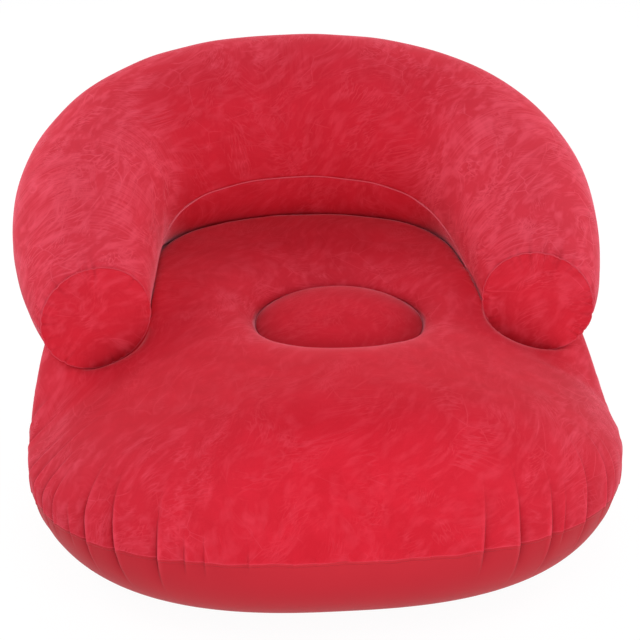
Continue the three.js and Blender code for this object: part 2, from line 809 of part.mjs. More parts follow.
function addValve(name, frame) {
  const valve = new THREE.Group();
  valve.name = name;
  valve.applyMatrix4(frame);
  chair.add(valve);
  addPiece(`${name}_base`, valveBase(), valveRed, valve);
  addPiece(`${name}_stopper`, valveStopper(), valveRed, valve);
  addPiece(`${name}_cap`, valveCap(), valveRed, valve);
  addPiece(`${name}_flap`, valveFlap(), flapClear, valve);
}
addValve('seat_valve', seatValveFrame);
addValve('backrest_valve', tubeValveFrame);

// The origin lies on the floor under the middle of the whole chair
const extent = new THREE.Box3().setFromObject(chair);
chair.position.y = -(extent.min.y + extent.max.y) / 2;

export default chair;
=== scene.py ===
# %% [markdown]
# # An inflatable armchair in flocked PVC sheet
# The real chair is two air chambers. The seat is a round-cornered cushion with a dished top, and a
# horseshoe tube that is both backrest and arms lies on it. The sheet is cut flat, welded along its
# seams and blown up, so every form is round and tight, and folds gather only where a long edge is
# welded to a short one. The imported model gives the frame, and each soft sheet is made again here
# with more points, its gathers and its velvet.

# %% Load the frame
import math

import bmesh
import bpy
import numpy as np
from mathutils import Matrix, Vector


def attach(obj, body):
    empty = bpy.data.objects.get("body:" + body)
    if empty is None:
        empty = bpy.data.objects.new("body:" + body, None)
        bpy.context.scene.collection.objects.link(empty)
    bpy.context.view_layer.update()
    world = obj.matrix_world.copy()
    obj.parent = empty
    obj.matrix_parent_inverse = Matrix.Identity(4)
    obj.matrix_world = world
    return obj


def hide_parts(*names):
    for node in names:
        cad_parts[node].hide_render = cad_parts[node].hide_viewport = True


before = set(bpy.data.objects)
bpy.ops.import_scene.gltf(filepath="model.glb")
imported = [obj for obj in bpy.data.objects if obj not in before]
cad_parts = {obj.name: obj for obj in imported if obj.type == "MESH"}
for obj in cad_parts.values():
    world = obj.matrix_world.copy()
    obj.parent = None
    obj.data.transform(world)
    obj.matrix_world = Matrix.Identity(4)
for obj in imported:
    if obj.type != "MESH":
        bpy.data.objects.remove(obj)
scene = bpy.context.scene
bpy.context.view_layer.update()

# %% [markdown]
# ## Camera
# The photograph is taken with a long lens from a little above the seat, slightly to the left of
# the middle. The place of the camera was worked out from the outlines of the seat, the tube and
# the two round arm ends, so the render can be laid over the photograph.

# %% Camera
camera_aim = Vector((-0.03005, -0.41719, 0.49435))
camera_distance = 3.4
camera_climb = math.radians(23)
camera_turn = math.radians(-5.449)
camera_lens_mm = 120.3
sensor_mm = 36


def make_camera():
    level = math.cos(camera_climb)
    away = Vector((
        math.sin(camera_turn) * level, -math.cos(camera_turn) * level, math.sin(camera_climb),
    ))
    data = bpy.data.cameras.new("photo_camera")
    data.lens = camera_lens_mm
    data.sensor_width = sensor_mm
    camera = bpy.data.objects.new("photo_camera", data)
    camera.location = camera_aim + away * camera_distance
    camera.rotation_euler = away.to_track_quat("Z", "Y").to_euler()
    scene.collection.objects.link(camera)
    scene.camera = camera
    return camera


camera = make_camera()
print("camera at", [round(value, 3) for value in camera.location])

# %% [markdown]
# ## Stage and light
# The photograph has a white ground and soft light from the front and above, with no hard shadow.
# A wide plane takes the shadow. Light Path shows the world as pure white to the camera and in
# reflections, and the floor as white with a small share of its real shading. So the soft shadow
# stays, while no more light than the chair needs falls on it.

# %% Helpers for nodes
def add_node(tree, kind, **inputs):
    node = tree.nodes.new(kind)
    for name, value in inputs.items():
        node.inputs[name.replace("_", " ")].default_value = value
    return node


def plug(tree, socket, value):
    if isinstance(value, bpy.types.NodeSocket):
        tree.links.new(value, socket)
    else:
        socket.default_value = value


def calculate(tree, operation, first, second, clamp=False):
    node = add_node(tree, "ShaderNodeMath")
    node.operation = operation
    node.use_clamp = clamp
    plug(tree, node.inputs[0], first)
    plug(tree, node.inputs[1], second)
    return node.outputs[0]


def times(tree, first, second, clamp=False):
    return calculate(tree, "MULTIPLY", first, second, clamp)


def mix_shaders(tree, share, first, second):
    mix = add_node(tree, "ShaderNodeMixShader")
    for socket, value in zip(mix.inputs, (share, first, second)):
        tree.links.new(value, socket)
    return mix.outputs[0]


# %% World and floor
scene.view_settings.view_transform = "Standard"
white = (1, 1, 1, 1)
floor_grey = (0.8, 0.8, 0.81, 1)
floor_half_size = 6
floor_corners = ((-1, -1), (1, -1), (1, 1), (-1, 1))
world_strength = 0.3
shadow_share = 0.1
floor_glow = 1.05


def seen_directly(tree):
    rays = add_node(tree, "ShaderNodeLightPath").outputs
    seen = calculate(tree, "MAXIMUM", rays["Is Camera Ray"], rays["Is Glossy Ray"])
    return calculate(tree, "MAXIMUM", seen, rays["Is Transmission Ray"])


def make_world():
    world = bpy.data.worlds.new("white_studio")
    world.use_nodes = True
    tree = world.node_tree
    tree.nodes.clear()
    lighting = add_node(tree, "ShaderNodeBackground", Color=white, Strength=world_strength)
    backdrop = add_node(tree, "ShaderNodeBackground", Color=white, Strength=1)
    output = add_node(tree, "ShaderNodeOutputWorld")
    shown = mix_shaders(tree, seen_directly(tree), lighting.outputs[0], backdrop.outputs[0])
    tree.links.new(shown, output.inputs[0])
    scene.world = world


def make_floor():
    mesh = bpy.data.meshes.new("floor")
    corners = [(x * floor_half_size, y * floor_half_size, 0) for x, y in floor_corners]
    mesh.from_pydata(corners, [], [range(len(corners))])
    floor = bpy.data.objects.new("floor", mesh)
    scene.collection.objects.link(floor)
    material = bpy.data.materials.new("floor_white")
    material.use_nodes = True
    tree = material.node_tree
    tree.nodes.clear()
    diffuse = add_node(tree, "ShaderNodeBsdfDiffuse", Color=floor_grey)
    glow = add_node(tree, "ShaderNodeEmission", Color=white, Strength=floor_glow)
    output = add_node(tree, "ShaderNodeOutputMaterial")
    share = times(tree, seen_directly(tree), 1 - shadow_share)
    shown = mix_shaders(tree, share, diffuse.outputs[0], glow.outputs[0])
    tree.links.new(shown, output.inputs[0])
    mesh.materials.append(material)


make_world()
make_floor()
print("world and floor made, shadow share", shadow_share)

# %% Lamps
lamp_aim = Vector((0, 0, 0.35))


def add_lamp(name, place, width, power):
    data = bpy.data.lights.new(name, "AREA")
    data.shape = "DISK"
    data.size = width
    data.energy = power
    lamp = bpy.data.objects.new(name, data)
    lamp.location = place
    lamp.rotation_euler = (Vector(place) - lamp_aim).to_track_quat("Z", "Y").to_euler()
    scene.collection.objects.link(lamp)
    print(name, power, "W")


add_lamp("front_lamp", place=(0.2, -3.6, 1.0), width=2.4, power=68)
add_lamp("top_lamp", place=(0, -1.5, 2.9), width=1.8, power=13)
add_lamp("left_lamp", place=(-2.5, 0.9, 1.4), width=2.0, power=34)
add_lamp("right_lamp", place=(2.5, 0.9, 1.4), width=2.0, power=31)
add_lamp("rear_lamp", place=(0.2, 3, 2.6), width=2.4, power=48)

# %% [markdown]
# ## The shapes as rules
# Every sheet of the chair follows a rule, so each is worked out from a few real dimensions in
# metres. The tube runs along a squarish arc, and its width and height change smoothly from the
# middle of the back to the sides and the ends. The seat is a squarish outline with a rounded
# section, and the tube presses a shallow bed into its top. The dimensions are those of the
# solids. Only the dish has its own steepness here, and the tube's width is rounded over at the
# middle of the back, where the solids have a slight kink. The rules count from the middle of the
# seat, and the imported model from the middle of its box, which lies shift_back further back.
# Values in threes are for the front, the sides and the rear of the seat, or for the middle, the
# sides and the ends of the tube.

# %% Dimensions of the seat
shift_back = 0.186408
seat_half_width = 0.515
seat_front_reach = 0.42
seat_rear_reach = 0.775
front_squareness = 2.3
rear_squareness = 2.1
widest_height = 0.162
floor_inset = 0.163
crown_height = 0.402
crown_x = 0.02
crown_side_falls = (0.2, 0.045)
crown_rear_fall = 0.04
side_fall_reach = 0.25
crown_insets = (0.19, 0.11, 0.17)
seam_height_shares = (0.99, 0.84, 0.84)
shoulder_squareness = 2.8
well_x = 0.037
well_y = 0.115
well_radius = 0.148
well_rim_height = 0.347
well_tilt_share = 0.05
dish_steepness = (3.4, 8, 2.5)
panel_rise = 0.032
print("seat", 2 * seat_half_width, "m wide,", seat_front_reach + seat_rear_reach, "m deep")

# %% Dimensions of the tube
spine_half_width = 0.405
spine_depth = 0.399
spine_centre_y = 0.267
spine_squareness = 2.6
spine_end = math.radians(107.8)
tube_half_widths = (0.118, 0.148, 0.098)
tube_half_heights = (0.186, 0.161, 0.093)
middle_blend = 0.1
tube_press = 0.012
inner_seam_angle = math.radians(-14)
outer_seam_angle = math.radians(188)
end_cap_rise = 0.017
rest_height_at_ends = 0.286
rest_tilt_share = 0.11
dent_side_slope_share = 3
dent_front_slope_share = 0.8
dent_front_flat = 0.006
dent_softness = 0.022
round_end_shares = (0.78, 0.93)

# %% Dimensions of sheets, strip and welds
flocked_wall = 0.0005
plain_wall = 0.0004
weld_gap = 0.0003
strip_width = 0.056
strip_thickness = 0.002
strip_end_share = 0.95
lip_thickness = 0.003
sleeve_flange = 0.012
print("flocked sheet", flocked_wall, "m, plain sheet", plain_wall, "m")

# %% The line along the tube
full_turn = 2 * math.pi
quarter_turn = math.pi / 2
spine_samples = 480


def signed_power(value, power):
    return np.sign(value) * np.abs(value) ** power


def through_three(share, stops):
    first, middle, last = stops
    share = np.abs(share)
    share = np.where(share < middle_blend, share ** 2 / (2 * middle_blend) + middle_blend / 2, share)
    near = (1 - share) * (1 - 2 * share)
    far = share * (2 * share - 1)
    return first * near + middle * 4 * share * (1 - share) + last * far


def spine_in_plan(angle):
    x = spine_half_width * signed_power(np.sin(angle), 2 / spine_squareness)
    y = spine_centre_y + spine_depth * signed_power(np.cos(angle), 2 / spine_squareness)
    return np.stack([x, y], -1)


spine_line = spine_in_plan(np.linspace(-spine_end, spine_end, spine_samples + 1))
spine_steps = np.linalg.norm(np.diff(spine_line, axis=0), axis=1)
spine_lengths = np.concatenate([[0], np.cumsum(spine_steps)])
spine_length = spine_lengths[-1]
spine_slopes = np.gradient(spine_line, axis=0)
spine_slopes /= np.linalg.norm(spine_slopes, axis=1, keepdims=True)
spine_end_y = spine_line[0, 1]
tube_floor = strip_thickness + 2 * weld_gap


def spine(share):
    along = (np.asarray(share, float) + 1) / 2 * spine_length
    point = np.stack([np.interp(along, spine_lengths, spine_line[:, i]) for i in range(2)], -1)
    slope = np.stack([np.interp(along, spine_lengths, spine_slopes[:, i]) for i in range(2)], -1)
    slope /= np.linalg.norm(slope, axis=-1, keepdims=True)
    return point, slope


print("tube along its middle", round(float(spine_length), 3), "m")

# %% The tube's section
def rest_plane(y):
    return rest_height_at_ends + rest_tilt_share * (y - spine_end_y)


def smooth_step(value):
    step = np.clip(value, 0, 1)
    return step * step * (3 - 2 * step)


def end_roundness(share):
    start, full = round_end_shares
    return smooth_step((np.abs(share) - start) / (full - start))


def tube_point(share, angle, proud=0.0):
    share, angle = np.broadcast_arrays(np.asarray(share, float), np.asarray(angle, float))
    point, slope = spine(share)
    half_width = through_three(share, tube_half_widths)
    half_height = through_three(share, tube_half_heights)
    across = (half_width + proud) * np.cos(angle)
    x = point[..., 0] + slope[..., 1] * across
    y = point[..., 1] - slope[..., 0] * across
    above = half_height - tube_press + (half_height + proud) * np.sin(angle)
    lowest = -tube_press * end_roundness(share)
    return np.stack([x, y, rest_plane(y) + np.maximum(above, lowest) + tube_floor], -1)


def tube_middle(share):
    point, slope = spine(share)
    half_height = through_three(share, tube_half_heights)
    height = rest_plane(point[..., 1]) + tube_floor + half_height - tube_press
    return np.concatenate([point, height[..., None]], -1)


print("top of the back", round(float(tube_point(0, quarter_turn)[2]), 3), "m")

# %% The bed under the tube
chunk = 4000


def soft_minimum(first, second, reach):
    near = np.maximum(reach - np.abs(first - second), 0)
    return np.minimum(first, second) - near * near / (4 * reach)


def dent_height(x, y):
    places = np.stack([np.ravel(x), np.ravel(y)], -1)
    heights = []
    for start in range(0, len(places), chunk):
        part = places[start:start + chunk]
        reach = np.linalg.norm(part[:, None] - spine_line[None], axis=-1)
        nearest = reach.argmin(1)
        distance = reach[np.arange(len(part)), nearest]
        share = spine_lengths[nearest] / spine_length * 2 - 1
        offset = part - spine_line[nearest]
        past_end = np.maximum((offset * spine_slopes[nearest]).sum(-1) * np.sign(share), 0)
        past_end = np.where((nearest == 0) | (nearest == spine_samples), past_end, 0)
        distance = np.sqrt(np.maximum(distance ** 2 - past_end ** 2, 0))
        half_width = through_three(share, tube_half_widths)
        half_height = through_three(share, tube_half_heights)
        drawn_in = np.sqrt(np.maximum(1 - (distance / half_width) ** 2, 0))
        under = half_height * (1 - drawn_in) - tube_press
        under = np.maximum(under, -tube_press * end_roundness(share))
        side = dent_side_slope_share * np.maximum(distance - half_width, 0)
        front = dent_front_slope_share * np.maximum(past_end - dent_front_flat, 0)
        heights.append(rest_plane(part[:, 1]) + under + side + front)
    return np.concatenate(heights).reshape(np.shape(x))


# %% The seat's outline and crown
def around_seat(angle, values):
    front, side, rear = values
    along = np.sin(angle)
    return side + (np.where(along < 0, front, rear) - side) * along ** 2


def crown(x, y):
    front_fall, rear_fall = crown_side_falls
    behind = smooth_step(y / side_fall_reach)
    side_fall = front_fall + (rear_fall - front_fall) * behind
    rear_fall = crown_rear_fall * (np.maximum(y, 0) / seat_rear_reach) ** 2
    return crown_height - side_fall * ((x - crown_x) / seat_half_width) ** 2 - rear_fall


def seat_outline(angle):
    across, along = np.cos(angle), np.sin(angle)
    reach = np.where(along < 0, seat_front_reach, seat_rear_reach)
    squareness = np.where(along < 0, front_squareness, rear_squareness)
    total = np.abs(across / seat_half_width) ** squareness + np.abs(along / reach) ** squareness
    return total ** (-1 / squareness)


def well_rim(angle):
    return well_rim_height + well_tilt_share * well_radius * np.sin(angle)


print("crown over the middle", round(float(crown(crown_x, 0)), 3), "m")

# %% A point of the seat
crown_place = 2
well_place = 3


def seat_point(angle, place):
    angle, place = np.broadcast_arrays(np.asarray(angle, float), np.asarray(place, float))
    outline = seat_outline(angle)
    low_turn = np.clip(place, 0, 1) * quarter_turn
    low_radius = outline - floor_inset * (1 - np.sin(low_turn))
    low_radius = np.where(place < 0, (outline - floor_inset) * (1 + place), low_radius)
    low_height = widest_height * (1 - np.cos(low_turn))
    power = 2 / shoulder_squareness
    high_turn = np.clip(place - 1, 0, 1) * quarter_turn
    inset = around_seat(angle, crown_insets) * (1 - np.maximum(np.cos(high_turn), 0) ** power)
    rise = np.sin(high_turn) ** power
    radius = np.where(place < 1, low_radius, outline - inset)
    x, y = radius * np.cos(angle), radius * np.sin(angle)
    share = np.clip(place - crown_place, 0, 1)
    x = x + (well_x + well_radius * np.cos(angle) - x) * share
    y = y + (well_y + well_radius * np.sin(angle) - y) * share
    z = np.where(place < 1, low_height, widest_height + (crown(x, y) - widest_height) * rise)
    steepness = around_seat(angle, dish_steepness)
    z = z + (well_rim(angle) - z) * share ** steepness
    bedded = soft_minimum(z, dent_height(x, y), dent_softness)
    return np.stack([x, y, np.where(place < 1, z, bedded)], -1)


def seam_place(angle):
    return np.arccos(1 - around_seat(angle, seam_height_shares)) / quarter_turn


front_seam = seat_point(-quarter_turn, seam_place(-quarter_turn))
print("seam at the front", round(float(front_seam[2]), 3), "m up")

# %% [markdown]
# ## Helpers for sheets
# A sheet is a grid of points, one column after another. It becomes a mesh whose faces point out,
# and Solidify gives it the thickness of the real sheet on its inner side. Each point also keeps
# its place on the sheet in metres, because the velvet's stretch lines follow the sheet, and marks
# that say how far it is in a fold, at a cut edge, and how much wear and painted sheen it gets.
# The fold mark paints shade into a fold's valley and a highlight onto its crest. The third mark
# gives wear lines and a paler tone that is painted sheen, high on lit parts and low in shade.

# %% Grids of points
no_length = 1e-12


def unit(vectors):
    return vectors / np.maximum(np.linalg.norm(vectors, axis=-1, keepdims=True), no_length)


def grid_normals(points, ring):
    if ring:
        across = np.roll(points, -1, 0) - np.roll(points, 1, 0)
    else:
        across = np.gradient(points, axis=0)
    return unit(np.cross(across, np.gradient(points, axis=1)))


def running_length(points):
    steps = np.linalg.norm(np.diff(points, axis=1), axis=-1)
    return np.concatenate([np.zeros((len(points), 1)), np.cumsum(steps, 1)], 1)


# %% Meshes from grids
join_distance = 1e-6


def write_vectors(mesh, name, values):
    attribute = mesh.attributes.new(name, "FLOAT_VECTOR", "POINT")
    attribute.data.foreach_set("vector", np.ascontiguousarray(values, np.float32).reshape(-1))


def grid_mesh(name, points, ring, turned_round=False, places=None, marks=None):
    columns, rows = points.shape[:2]
    spans = columns if ring else columns - 1
    i, j = np.meshgrid(np.arange(spans), np.arange(rows - 1), indexing="ij")
    following = (i + 1) % columns
    here, there = i * rows + j, following * rows + j
    quads = np.stack([here, there, there + 1, here + 1], -1).reshape(-1, 4)
    if turned_round:
        quads = quads[:, ::-1]
    placed = points.reshape(-1, 3).copy()
    placed[:, 1] -= shift_back
    mesh = bpy.data.meshes.new(name)
    mesh.from_pydata(placed.tolist(), [], quads.tolist())
    if places is not None:
        write_vectors(mesh, "sheet_place", places)
    if marks is not None:
        write_vectors(mesh, "sheet_marks", marks)
    mesh.shade_smooth()
    mesh.update()
    return mesh


# %% Pieces with a wall
def add_piece(name, mesh, material, nodes, wall=None, body="chair"):
    piece = bpy.data.objects.new(name, mesh)
    scene.collection.objects.link(piece)
    mesh.materials.append(material)
    if wall:
        solidify = piece.modifiers.new("wall", "SOLIDIFY")
        solidify.thickness = wall
        solidify.offset = -1
        solidify.use_even_offset = False
    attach(piece, body)
    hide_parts(*nodes)
    print(name, len(mesh.polygons), "faces")
    return piece


def weld_doubles(mesh):
    shape = bmesh.new()
    shape.from_mesh(mesh)
    bmesh.ops.remove_doubles(shape, verts=shape.verts, dist=join_distance)
    shape.to_mesh(mesh)
    shape.free()
    mesh.update()


# The third mark carries wear lines and a paler tone that is painted sheen.
def marks_of(crease, edge, wear_and_sheen):
    return np.stack(np.broadcast_arrays(crease, edge, wear_and_sheen), -1)


# %% [markdown]
# ## Slightly uneven sheets
# No blown-up sheet is perfectly round: folding it for its box and small differences in its weld
# leave shallow waves of up to a millimetre, which the velvet's light picks up. A sum of nine
# waves in directions from a fixed seed gives them, the same in every run.

# %% Uneven sheets
uneven_seed = 11
uneven_count = 9
uneven_height = 0.0006
uneven_lengths = (0.08, 0.22)


def make_waves():
    source = np.random.default_rng(uneven_seed)
    directions = unit(source.normal(size=(uneven_count, 3)))
    lengths = source.uniform(*uneven_lengths, uneven_count)
    turns = source.uniform(0, full_turn, uneven_count)
    return directions * full_turn / lengths[:, None], turns


wave_vectors, wave_turns = make_waves()


def uneven(points):
    waves = np.sin(points @ wave_vectors.T + wave_turns)
    return uneven_height * waves.sum(-1) / math.sqrt(uneven_count)


print("waves", uneven_count, "of", uneven_lengths, "m")

# %% [markdown]
# ## Flats for the valves
# Each air chamber has a stiff round valve at the back. The sheet goes flat around it, and the
# valve's neck stands through a round hole. The flat is found in the same way as in the solids: a
# plane a little under the rounded sheet, and whatever stands above the plane is pressed onto it.
# The hole's edge is drawn onto its circle before the faces inside it are cut.

# %% Flats for the valves
pad_sink = 0.007
pad_half = 0.030
pad_softness = 0.003
hole_radius = 0.0153
hole_depth = 0.01
tiny_step = 1e-4
seat_valve_angle = math.radians(103)
seat_valve_place = 1.3
tube_valve_share = -0.17
tube_valve_angle = math.radians(145)


def pad_frame(surface, first, second):
    across = surface(first + tiny_step, second) - surface(first - tiny_step, second)
    along = surface(first, second + tiny_step) - surface(first, second - tiny_step)
    normal = unit(np.cross(across, along))
    up = unit(np.array([0, 0, 1]) - normal * normal[2])
    origin = surface(first, second) - normal * pad_sink
    return np.stack([np.cross(up, normal), up, normal]), origin


def flattened(points, flat):
    axes, origin = flat
    local = (points - origin) @ axes.T
    local[..., 2] = soft_minimum(local[..., 2], np.zeros_like(local[..., 2]), pad_softness)
    return local @ axes + origin


def open_hole(mesh, flat, radius):
    axes, origin = flat
    places = np.empty(len(mesh.vertices) * 3)
    mesh.vertices.foreach_get("co", places)
    places = places.reshape(-1, 3) + np.array([0, shift_back, 0])
    local = (places - origin) @ axes.T
    reach = np.hypot(local[:, 0], local[:, 1])
    inside = (reach < radius) & (np.abs(local[:, 2]) < hole_depth)
    local[inside, :2] *= (radius / np.maximum(reach, no_length))[inside, None]
    places = local @ axes + origin - np.array([0, shift_back, 0])
    mesh.vertices.foreach_set("co", places.reshape(-1))
    shape = bmesh.new()
    shape.from_mesh(mesh)
    cut = [face for face in shape.faces if all(inside[vertex.index] for vertex in face.verts)]
    bmesh.ops.delete(shape, geom=cut, context="FACES")
    shape.to_mesh(mesh)
    shape.free()
    mesh.update()
    print(mesh.name, "hole,", len(cut), "faces cut")


seat_valve_frame = pad_frame(seat_point, seat_valve_angle, seat_valve_place)
tube_valve_frame = pad_frame(tube_point, tube_valve_share, tube_valve_angle)
print("valves at", seat_valve_frame[1].round(3), tube_valve_frame[1].round(3))

# %% [markdown]
# ## Flocked sheet
# Flocking is a coat of very short fibres on PVC. Seen straight on it is a deep red, and along the
# outlines, where the fibres are seen from the side, it turns paler: that is sheen. Folding the
# chair for its box leaves fine pale lines: straight creases like those of crumpled paper, fans
# of streaks, and soft smears where the fibres lie over. Voronoi edges give the creases, noise
# stretched in several directions gives the streaks, and masks keep each to its own patches.
# The wear-and-sheen mark makes the lines stronger, which is wear, and the red a little paler,
# which is painted sheen.

# %% Helpers for materials
def new_material(name):
    material = bpy.data.materials.new(name)
    material.use_nodes = True
    tree = material.node_tree
    tree.nodes.clear()
    shader = add_node(tree, "ShaderNodeBsdfPrincipled")
    output = add_node(tree, "ShaderNodeOutputMaterial")
    tree.links.new(shader.outputs[0], output.inputs[0])
    return material, tree, shader


def set_sockets(shader, values):
    for name, value in values.items():
        shader.inputs[name].default_value = value


# %% Helpers for noise
def sized(tree, source, sizes, turn=(0, 0, 0)):
    node = add_node(tree, "ShaderNodeMapping", Scale=sizes, Rotation=turn)
    node.vector_type = "TEXTURE"
    tree.links.new(source, node.inputs["Vector"])
    return node.outputs[0]


def noise_node(tree, vector, seed, detail, roughness=0.5):
    node = add_node(tree, "ShaderNodeTexNoise", Scale=1, Detail=detail, Roughness=roughness)
    node.noise_dimensions = "4D"
    node.inputs["W"].default_value = seed
    tree.links.new(vector, node.inputs["Vector"])
    return node


def noise(tree, vector, size, seed, detail=2.0, roughness=0.5):
    vector = sized(tree, vector, (size, size, size))
    return noise_node(tree, vector, seed, detail, roughness).outputs[0]


# %% Helpers for masks and colours
# The Mix node lists its colour sockets after those for numbers and vectors.
colour_inputs = (6, 7)
colour_output = 2


def beyond(tree, value, start, width):
    raised = calculate(tree, "SUBTRACT", value, start)
    return calculate(tree, "DIVIDE", raised, width, clamp=True)


def highest(tree, values):
    total = values[0]
    for value in values[1:]:
        total = calculate(tree, "MAXIMUM", total, value)
    return total


def blend_colours(tree, factor, first, second):
    node = add_node(tree, "ShaderNodeMix")
    node.data_type = "RGBA"
    plug(tree, node.inputs[0], factor)
    for place, colour in zip(colour_inputs, (first, second)):
        plug(tree, node.inputs[place], colour)
    return node.outputs[colour_output]


# %% A warped field
noise_middle = 0.5


def vector_math(tree, operation, first, second, entry=1):
    node = add_node(tree, "ShaderNodeVectorMath")
    node.operation = operation
    plug(tree, node.inputs[0], first)
    plug(tree, node.inputs[entry], second)
    return node.outputs[0]


def warped(tree, vector, size, reach, seed):
    swirl = noise_node(tree, sized(tree, vector, (size, size, size)), seed, detail=1).outputs[1]
    centred = vector_math(tree, "SUBTRACT", swirl, (noise_middle, noise_middle, noise_middle))
    scaled = vector_math(tree, "SCALE", centred, reach, "Scale")
    return vector_math(tree, "ADD", vector, scaled)


# %% Helpers for bumps and attributes
def add_bump(tree, shader, height, strength, distance):
    bump = add_node(tree, "ShaderNodeBump", Strength=strength, Distance=distance)
    tree.links.new(height, bump.inputs["Height"])
    tree.links.new(bump.outputs[0], shader.inputs["Normal"])


def sheet_attribute(tree, name):
    node = add_node(tree, "ShaderNodeAttribute")
    node.attribute_name = name
    return node.outputs["Vector"]


def separate_marks(tree):
    parts = add_node(tree, "ShaderNodeSeparateXYZ")
    tree.links.new(sheet_attribute(tree, "sheet_marks"), parts.inputs[0])
    return parts.outputs


# %% Lines in the flock
streak_cut = 16.0
crease_half_width = 0.0011
streak_sizes = (0.085, 0.008, 0.03)
fine_sizes = (0.06, 0.0045, 0.02)
streak_turns = ((0.3, 0.5, 0.2), (1.2, 0.1, 0.9), (0.4, 1.1, 1.9), (0.9, 0.6, 2.7))
crease_size = 0.06
crease_stretch = (1.0, 1.5, 0.8)
ring_sizes = (0.16, 0.16, 0.0055)
patch_size = 0.085
patch_edge = 0.09
patch_detail = 1.5
streak_patch_seed = 20
crease_patch_seed = 40
streak_patch_start = 0.56
fine_patch_start = 0.58
crease_patch_start = 0.5
ring_patch_start = 0.48


def thin_line(tree, field, cut):
    off_middle = calculate(tree, "ABSOLUTE", calculate(tree, "SUBTRACT", field, noise_middle), 0)
    return calculate(tree, "SUBTRACT", 1, times(tree, off_middle, cut), clamp=True)


def patches(tree, vector, seed, start):
    return beyond(tree, noise(tree, vector, patch_size, seed, patch_detail), start, patch_edge)


def streaks(tree, vector, sizes, turn, seed, start):
    field = noise_node(tree, sized(tree, vector, sizes, turn), seed, detail=1).outputs[0]
    within = patches(tree, vector, seed + streak_patch_seed, start)
    return times(tree, thin_line(tree, field, streak_cut), within)


def creases(tree, vector, seed):
    sizes = [crease_size * share for share in crease_stretch]
    cells = add_node(tree, "ShaderNodeTexVoronoi", Scale=1)
    cells.voronoi_dimensions = "4D"
    cells.feature = "DISTANCE_TO_EDGE"
    cells.inputs["W"].default_value = seed
    tree.links.new(sized(tree, vector, sizes), cells.inputs["Vector"])
    share = calculate(tree, "DIVIDE", cells.outputs["Distance"], crease_half_width / crease_size)
    line = calculate(tree, "SUBTRACT", 1, share, clamp=True)
    return times(tree, line, patches(tree, vector, seed + crease_patch_seed, crease_patch_start))


def ring_lines(tree, place, wear_and_sheen, seed):
    field = noise_node(tree, sized(tree, place, ring_sizes), seed, patch_detail).outputs[0]
    line = times(tree, thin_line(tree, field, streak_cut / 2), wear_and_sheen)
    return times(tree, line, patches(tree, place, seed, ring_patch_start))


# %% Colours and finish of the flock
flock_deep = (0.57, 0.0084, 0.0212, 1)
flock_red = (0.63, 0.0115, 0.0278, 1)
flock_pale_and_highlight = (0.90, 0.10, 0.155, 1)
# This colour is painted shade: the dark red put into the valleys of folds and at the well panel's rim.
flock_shade = (0.26, 0.004, 0.009, 1)
flock_finish = {
    "Roughness": 0.9,
    "Specular IOR Level": 0.1,
    "Sheen Weight": 0.5,
    "Sheen Roughness": 0.25,
    "Sheen Tint": (1, 0.38, 0.48, 1),
}
warp_size = 0.22
warp_reach = 0.16
warp_seed = 3
broad_directions = 2
direction_seed_step = 5
fine_seed_shift = 2
crease_seed = 1
ring_seed = 9
mottle_size = 0.05
mottle_seed = 2
mottle_start = 0.36
mottle_width = 0.3
smear_sizes = (0.05, 0.014, 0.03)
smear_turn = (0.7, 0.3, 1.3)
smear_seed = 6
smear_start = 0.48
smear_width = 0.2
fibre_size = 0.0011
fibre_seed = 5
fibre_height_share = 0.3
line_share = 0.44
ring_share = 0.5
worn_gain = 0.7
worn_least = 0.26
smear_share = 0.38
# Share of the painted sheen: the red turns paler where the wear-and-sheen mark is high.
painted_sheen_share = 0.18
fibre_share = 0.09
# Shares of the painted shade in the valleys of folds and the painted highlight on their crests.
valley_shade_share = 0.9
crest_highlight_share = 0.7
edge_share = 0.55
flock_bump = 0.0007
flock_bump_strength = 0.5


# %% Flocked material
def flock_lines(tree, bent):
    lines = [creases(tree, bent, crease_seed)]
    for i, turn in enumerate(streak_turns):
        seed = direction_seed_step * i
        lines.append(streaks(tree, bent, fine_sizes, turn, seed + fine_seed_shift, fine_patch_start))
        if i < broad_directions:
            lines.append(streaks(tree, bent, streak_sizes, turn, seed, streak_patch_start))
    return highest(tree, lines)


# Painted shade and painted highlight: a fold's valley is darkened towards the shade colour and its crest
# made paler. The edge mark adds the pale cut edge of the flock.
def fold_light_and_edge_colours(tree, colour, fold, edge, shade, pale_and_highlight):
    valley = times(tree, fold, -valley_shade_share, clamp=True)
    crest = times(tree, fold, crest_highlight_share, clamp=True)
    edge = times(tree, edge, edge_share, clamp=True)
    colour = blend_colours(tree, valley, colour, shade)
    return blend_colours(tree, calculate(tree, "MAXIMUM", crest, edge), colour, pale_and_highlight)


